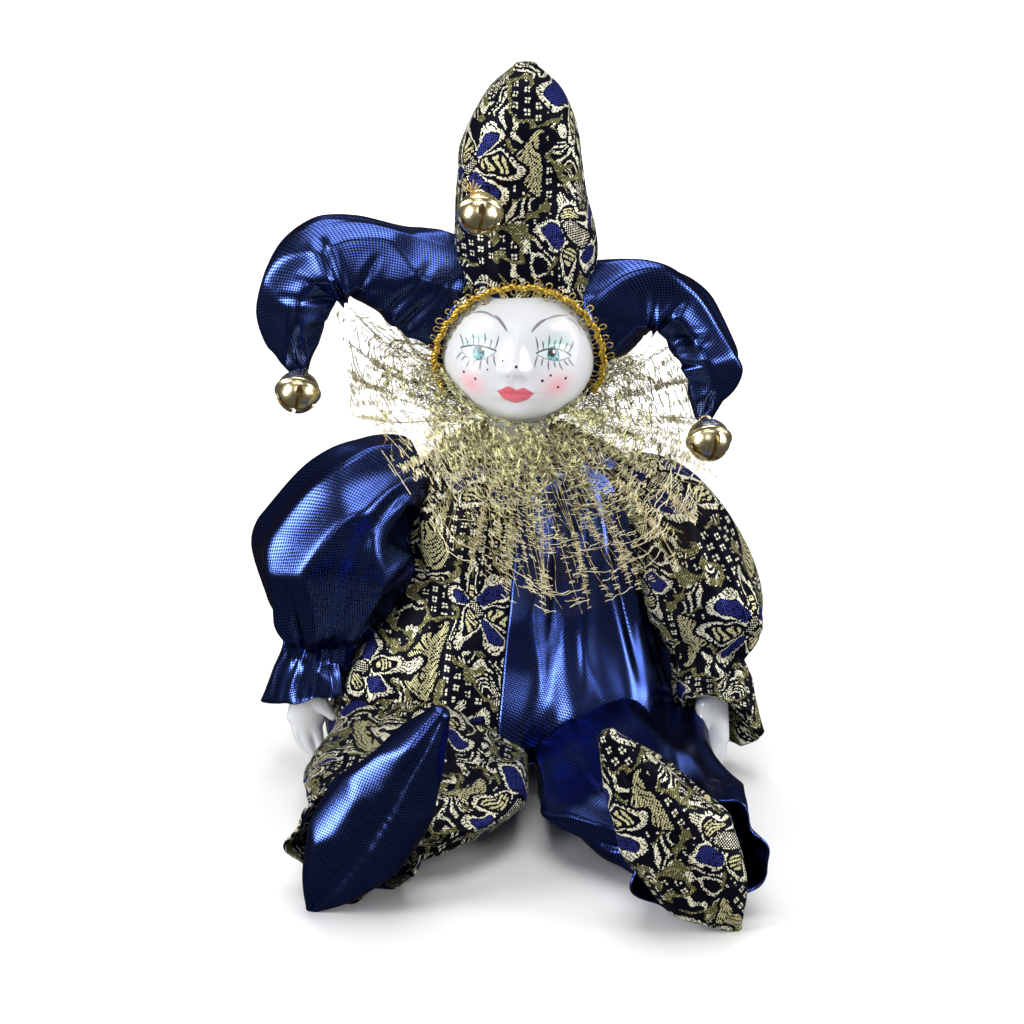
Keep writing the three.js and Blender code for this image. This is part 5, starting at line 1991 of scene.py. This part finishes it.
class Net:
    """One layer of the ruff: thin threads from the neck to the edge, bunched into folds, short
    bright strips across them and a few long strips that bridge the gaps."""

    def __init__(self, seed, chains, lift, strips, tangle):
        self.rng = np.random.default_rng(seed)
        self.chains = chains
        self.lift = lift
        self.count = strips
        self.tangle = tangle  # 0 for strips in rows and 1 for strips in all directions
        rng = self.rng
        self.around = (np.arange(chains) + rng.uniform(-0.4, 0.4, chains)) / chains
        self.reach = rng.uniform(0.9, 1.0, chains)
        self.drift = rng.normal(0, 1, (chains, 6))

    def turn(self, k, share):
        """Where chain k lies round the neck, wandering most near it and bunched at the edge."""
        drift = self.drift[k]
        wander = sum(
            drift[..., j] * np.sin((j + 1) * 4.3 * share + drift[..., 5 - j] * 4) for j in range(3)
        )
        turn = self.around[k] + wander * 0.0022 * (1.4 - share)
        rate = 2 * math.pi * FOLDS_IN_NET
        bunched = 1.3 * np.clip((share - 0.3) / 0.5, 0, 1)
        return turn + bunched * np.sin(rate * turn + 3 * share) / rate

    def height(self, k, share):
        """How far chain k stands off the middle of the ruff, in mm."""
        return self.lift * (1 - 0.5 * share) + 0.6 * np.sin(9 * share + 6 * self.drift[k, 3])

    def strips(self, place, k, share, angle, length, free):
        """Strips on chains k, or off them where they lie free, each turned by an angle from
        the way across. None of them lies in the open gaps further out."""
        loose = free * self.rng.uniform(-0.5, 0.5, len(k)) / self.chains
        turn, lift = self.turn(k, share) + loose, self.height(k, share)
        gaps = lumps(place(turn, share, 0 * share), 17, 5)
        kept = (gaps < 0.42) | (share < 0.34) | (self.rng.uniform(size=len(k)) < 0.08)
        turn, share, lift, angle, length = (v[kept] for v in (turn, share, lift, angle, length))
        centre = place(turn, share, lift)
        across = unit(place(turn + 0.003, share, lift) - place(turn - 0.003, share, lift))
        down = unit(place(turn, share + 0.02, lift) - place(turn, share - 0.02, lift))
        way = across * np.cos(angle)[:, None] + down * np.sin(angle)[:, None]
        half = way * (length / 2)[:, None]
        bend = self.rng.normal(0, 0.22, centre.shape)
        return list(np.stack([centre - half, centre + bend, centre + half], axis=1))

    def weave(self, place):
        """The layer's threads and strips, as lines of points."""
        rng = self.rng
        along = np.linspace(0.02, 1, 30)
        lines = []
        for k in range(self.chains):
            share = along * self.reach[k]
            lines.append(place(self.turn(k, share), share, self.height(k, share)))
        # Short strips sit closer together and lie more freely near the neck
        k = rng.integers(0, self.chains, self.count)
        share = rng.uniform(0.02, 1, self.count) ** 0.7 * self.reach[k]
        free = np.clip(self.tangle + 2.4 * (0.6 - share), 0.2, 1)
        angle = rng.normal(0, 1, self.count) * free * 1.1 + 0.18 * np.sin(7 * self.around[k] * math.pi)
        length = rng.uniform(1.2, 2.2, self.count) + 3.4 * free * rng.uniform(size=self.count)
        strips = self.strips(place, k, share, angle, length, free * 1.4)
        # Long strips bridge the gaps between folds
        for _ in range(self.count // 20):
            middle, width = rng.uniform(0, 1), rng.uniform(0.004, 0.017)
            turn = middle + width * np.linspace(-1, 1, 9)
            slope = rng.normal(0, 0.9)
            share = rng.uniform(0.35, 0.99) + slope * (turn - middle) + rng.normal(0, 0.003, 9)
            lift = self.lift * (1 - 0.5 * share) + rng.uniform(0, 0.8)
            strips.append(place(turn, np.clip(share, 0.1, 1), lift))
        return lines, strips


class CLOWN_OT_ruff(bpy.types.Operator):
    """Makes the gathered gold net ruff with its threads and bright strips"""

    bl_idname = "clown_doll.ruff"
    bl_label = "Ruff"

    def execute(self, context):
        trim = context.scene.clown_trim
        light, dark = tuple(trim.net_light), tuple(trim.net_dark)
        # Along the net threads the light and dark colours are mixed as painted glints and painted
        # shade
        fibre = metallic_thread("net_thread", light, dark, 0.4, 1.6, 0.4)
        # The bright strips glint between painted shine, a lighter copy of the gold, and painted shade,
        # a dark brown copy of it
        shine = shaded(light, 1.36)
        painted_shade = shaded(light, 0.14)
        lurex = metallic_thread("bright_strip", shine, painted_shade, 0.2, 1.6, 0.2)
        turn, out = np.linspace(0, 1, 541), np.linspace(0, 1, 46)
        net = patch("ruff_net", ruff_points(*np.meshgrid(turn, out, indexing="xy")))
        finish_piece(net, net_veil(), ["ruff"])
        chains = trim.chains

        def layer(shrink, phase):
            return lambda turn, out, lift: clear_of_head(
                ruff_points(turn, out * shrink, lift, phase)
            )

        # The pale strips run between their own pale colour and painted shade, a darker copy of the
        # gold
        pale = metallic_thread(
            "pale_strip", tuple(trim.strip_light), shaded(light, 0.8), 0.3, 1.6, 0.1
        )
        nets = (
            ("outer", layer(1.0, 0.0), Net(11, chains, 0.4, 3500, 0.0), pale),
            ("middle", layer(0.9, 1.1), Net(12, chains, 1.8, 2600, 0.1), pale),
            ("inner", layer(0.42, 2.0), Net(13, chains // 2, 3.2, 1300, 0.7), lurex),
            ("collar", collar_points, Net(14, chains // 4, 0.4, 2700, 1.0), lurex),
        )
        extra = []
        for name, place, net_plan, cloth in nets:
            lines, strips = net_plan.weave(place)
            threads = thread(f"ruff_threads_{name}", lines, THREAD_RADIUS, fibre)
            radius = BRIGHT_STRIP_RADIUS if cloth is lurex else PALE_STRIP_RADIUS
            short = thread(f"ruff_strips_{name}", strips, radius, cloth, STRIP_FLATNESS)
            extra += [finish_piece(threads, fibre), finish_piece(short, cloth)]
        return {"FINISHED"}


# Add-on

SETTINGS = {
    "clown_porcelain": ClownPorcelainSettings,
    "clown_cloth": ClownClothSettings,
    "clown_trim": ClownTrimSettings,
    "clown_stage": ClownStageSettings,
}
OPERATORS = (
    CLOWN_OT_stage,
    CLOWN_OT_head,
    CLOWN_OT_hands,
    CLOWN_OT_cap,
    CLOWN_OT_braid,
    CLOWN_OT_bells,
    CLOWN_OT_jacket,
    CLOWN_OT_sleeves,
    CLOWN_OT_trousers,
    CLOWN_OT_shoes,
    CLOWN_OT_ruff,
)


class CLOWN_PT_panel(bpy.types.Panel):
    """Lists the doll's pieces and their sizes and colours"""

    bl_idname = "CLOWN_PT_panel"
    bl_label = "Porcelain Clown Doll"
    bl_space_type = "VIEW_3D"
    bl_region_type = "UI"
    bl_category = "Clown Doll"

    def draw(self, context):
        for key, group in SETTINGS.items():
            box = self.layout.box()
            for name in group.__annotations__:
                box.prop(getattr(context.scene, key), name)
        for operator in OPERATORS:
            self.layout.operator(operator.bl_idname)


def register():
    for key, group in SETTINGS.items():
        bpy.utils.register_class(group)
        setattr(bpy.types.Scene, key, bpy.props.PointerProperty(type=group))
    for made in (*OPERATORS, CLOWN_PT_panel):
        bpy.utils.register_class(made)


def unregister():
    for made in (CLOWN_PT_panel, *reversed(OPERATORS)):
        bpy.utils.unregister_class(made)
    for key, group in SETTINGS.items():
        delattr(bpy.types.Scene, key)
        bpy.utils.unregister_class(group)


def main():
    register()
    for operator in OPERATORS:
        name = operator.bl_idname.split(".")[1]
        getattr(bpy.ops.clown_doll, name)()


if __name__ == "__main__":
    main()
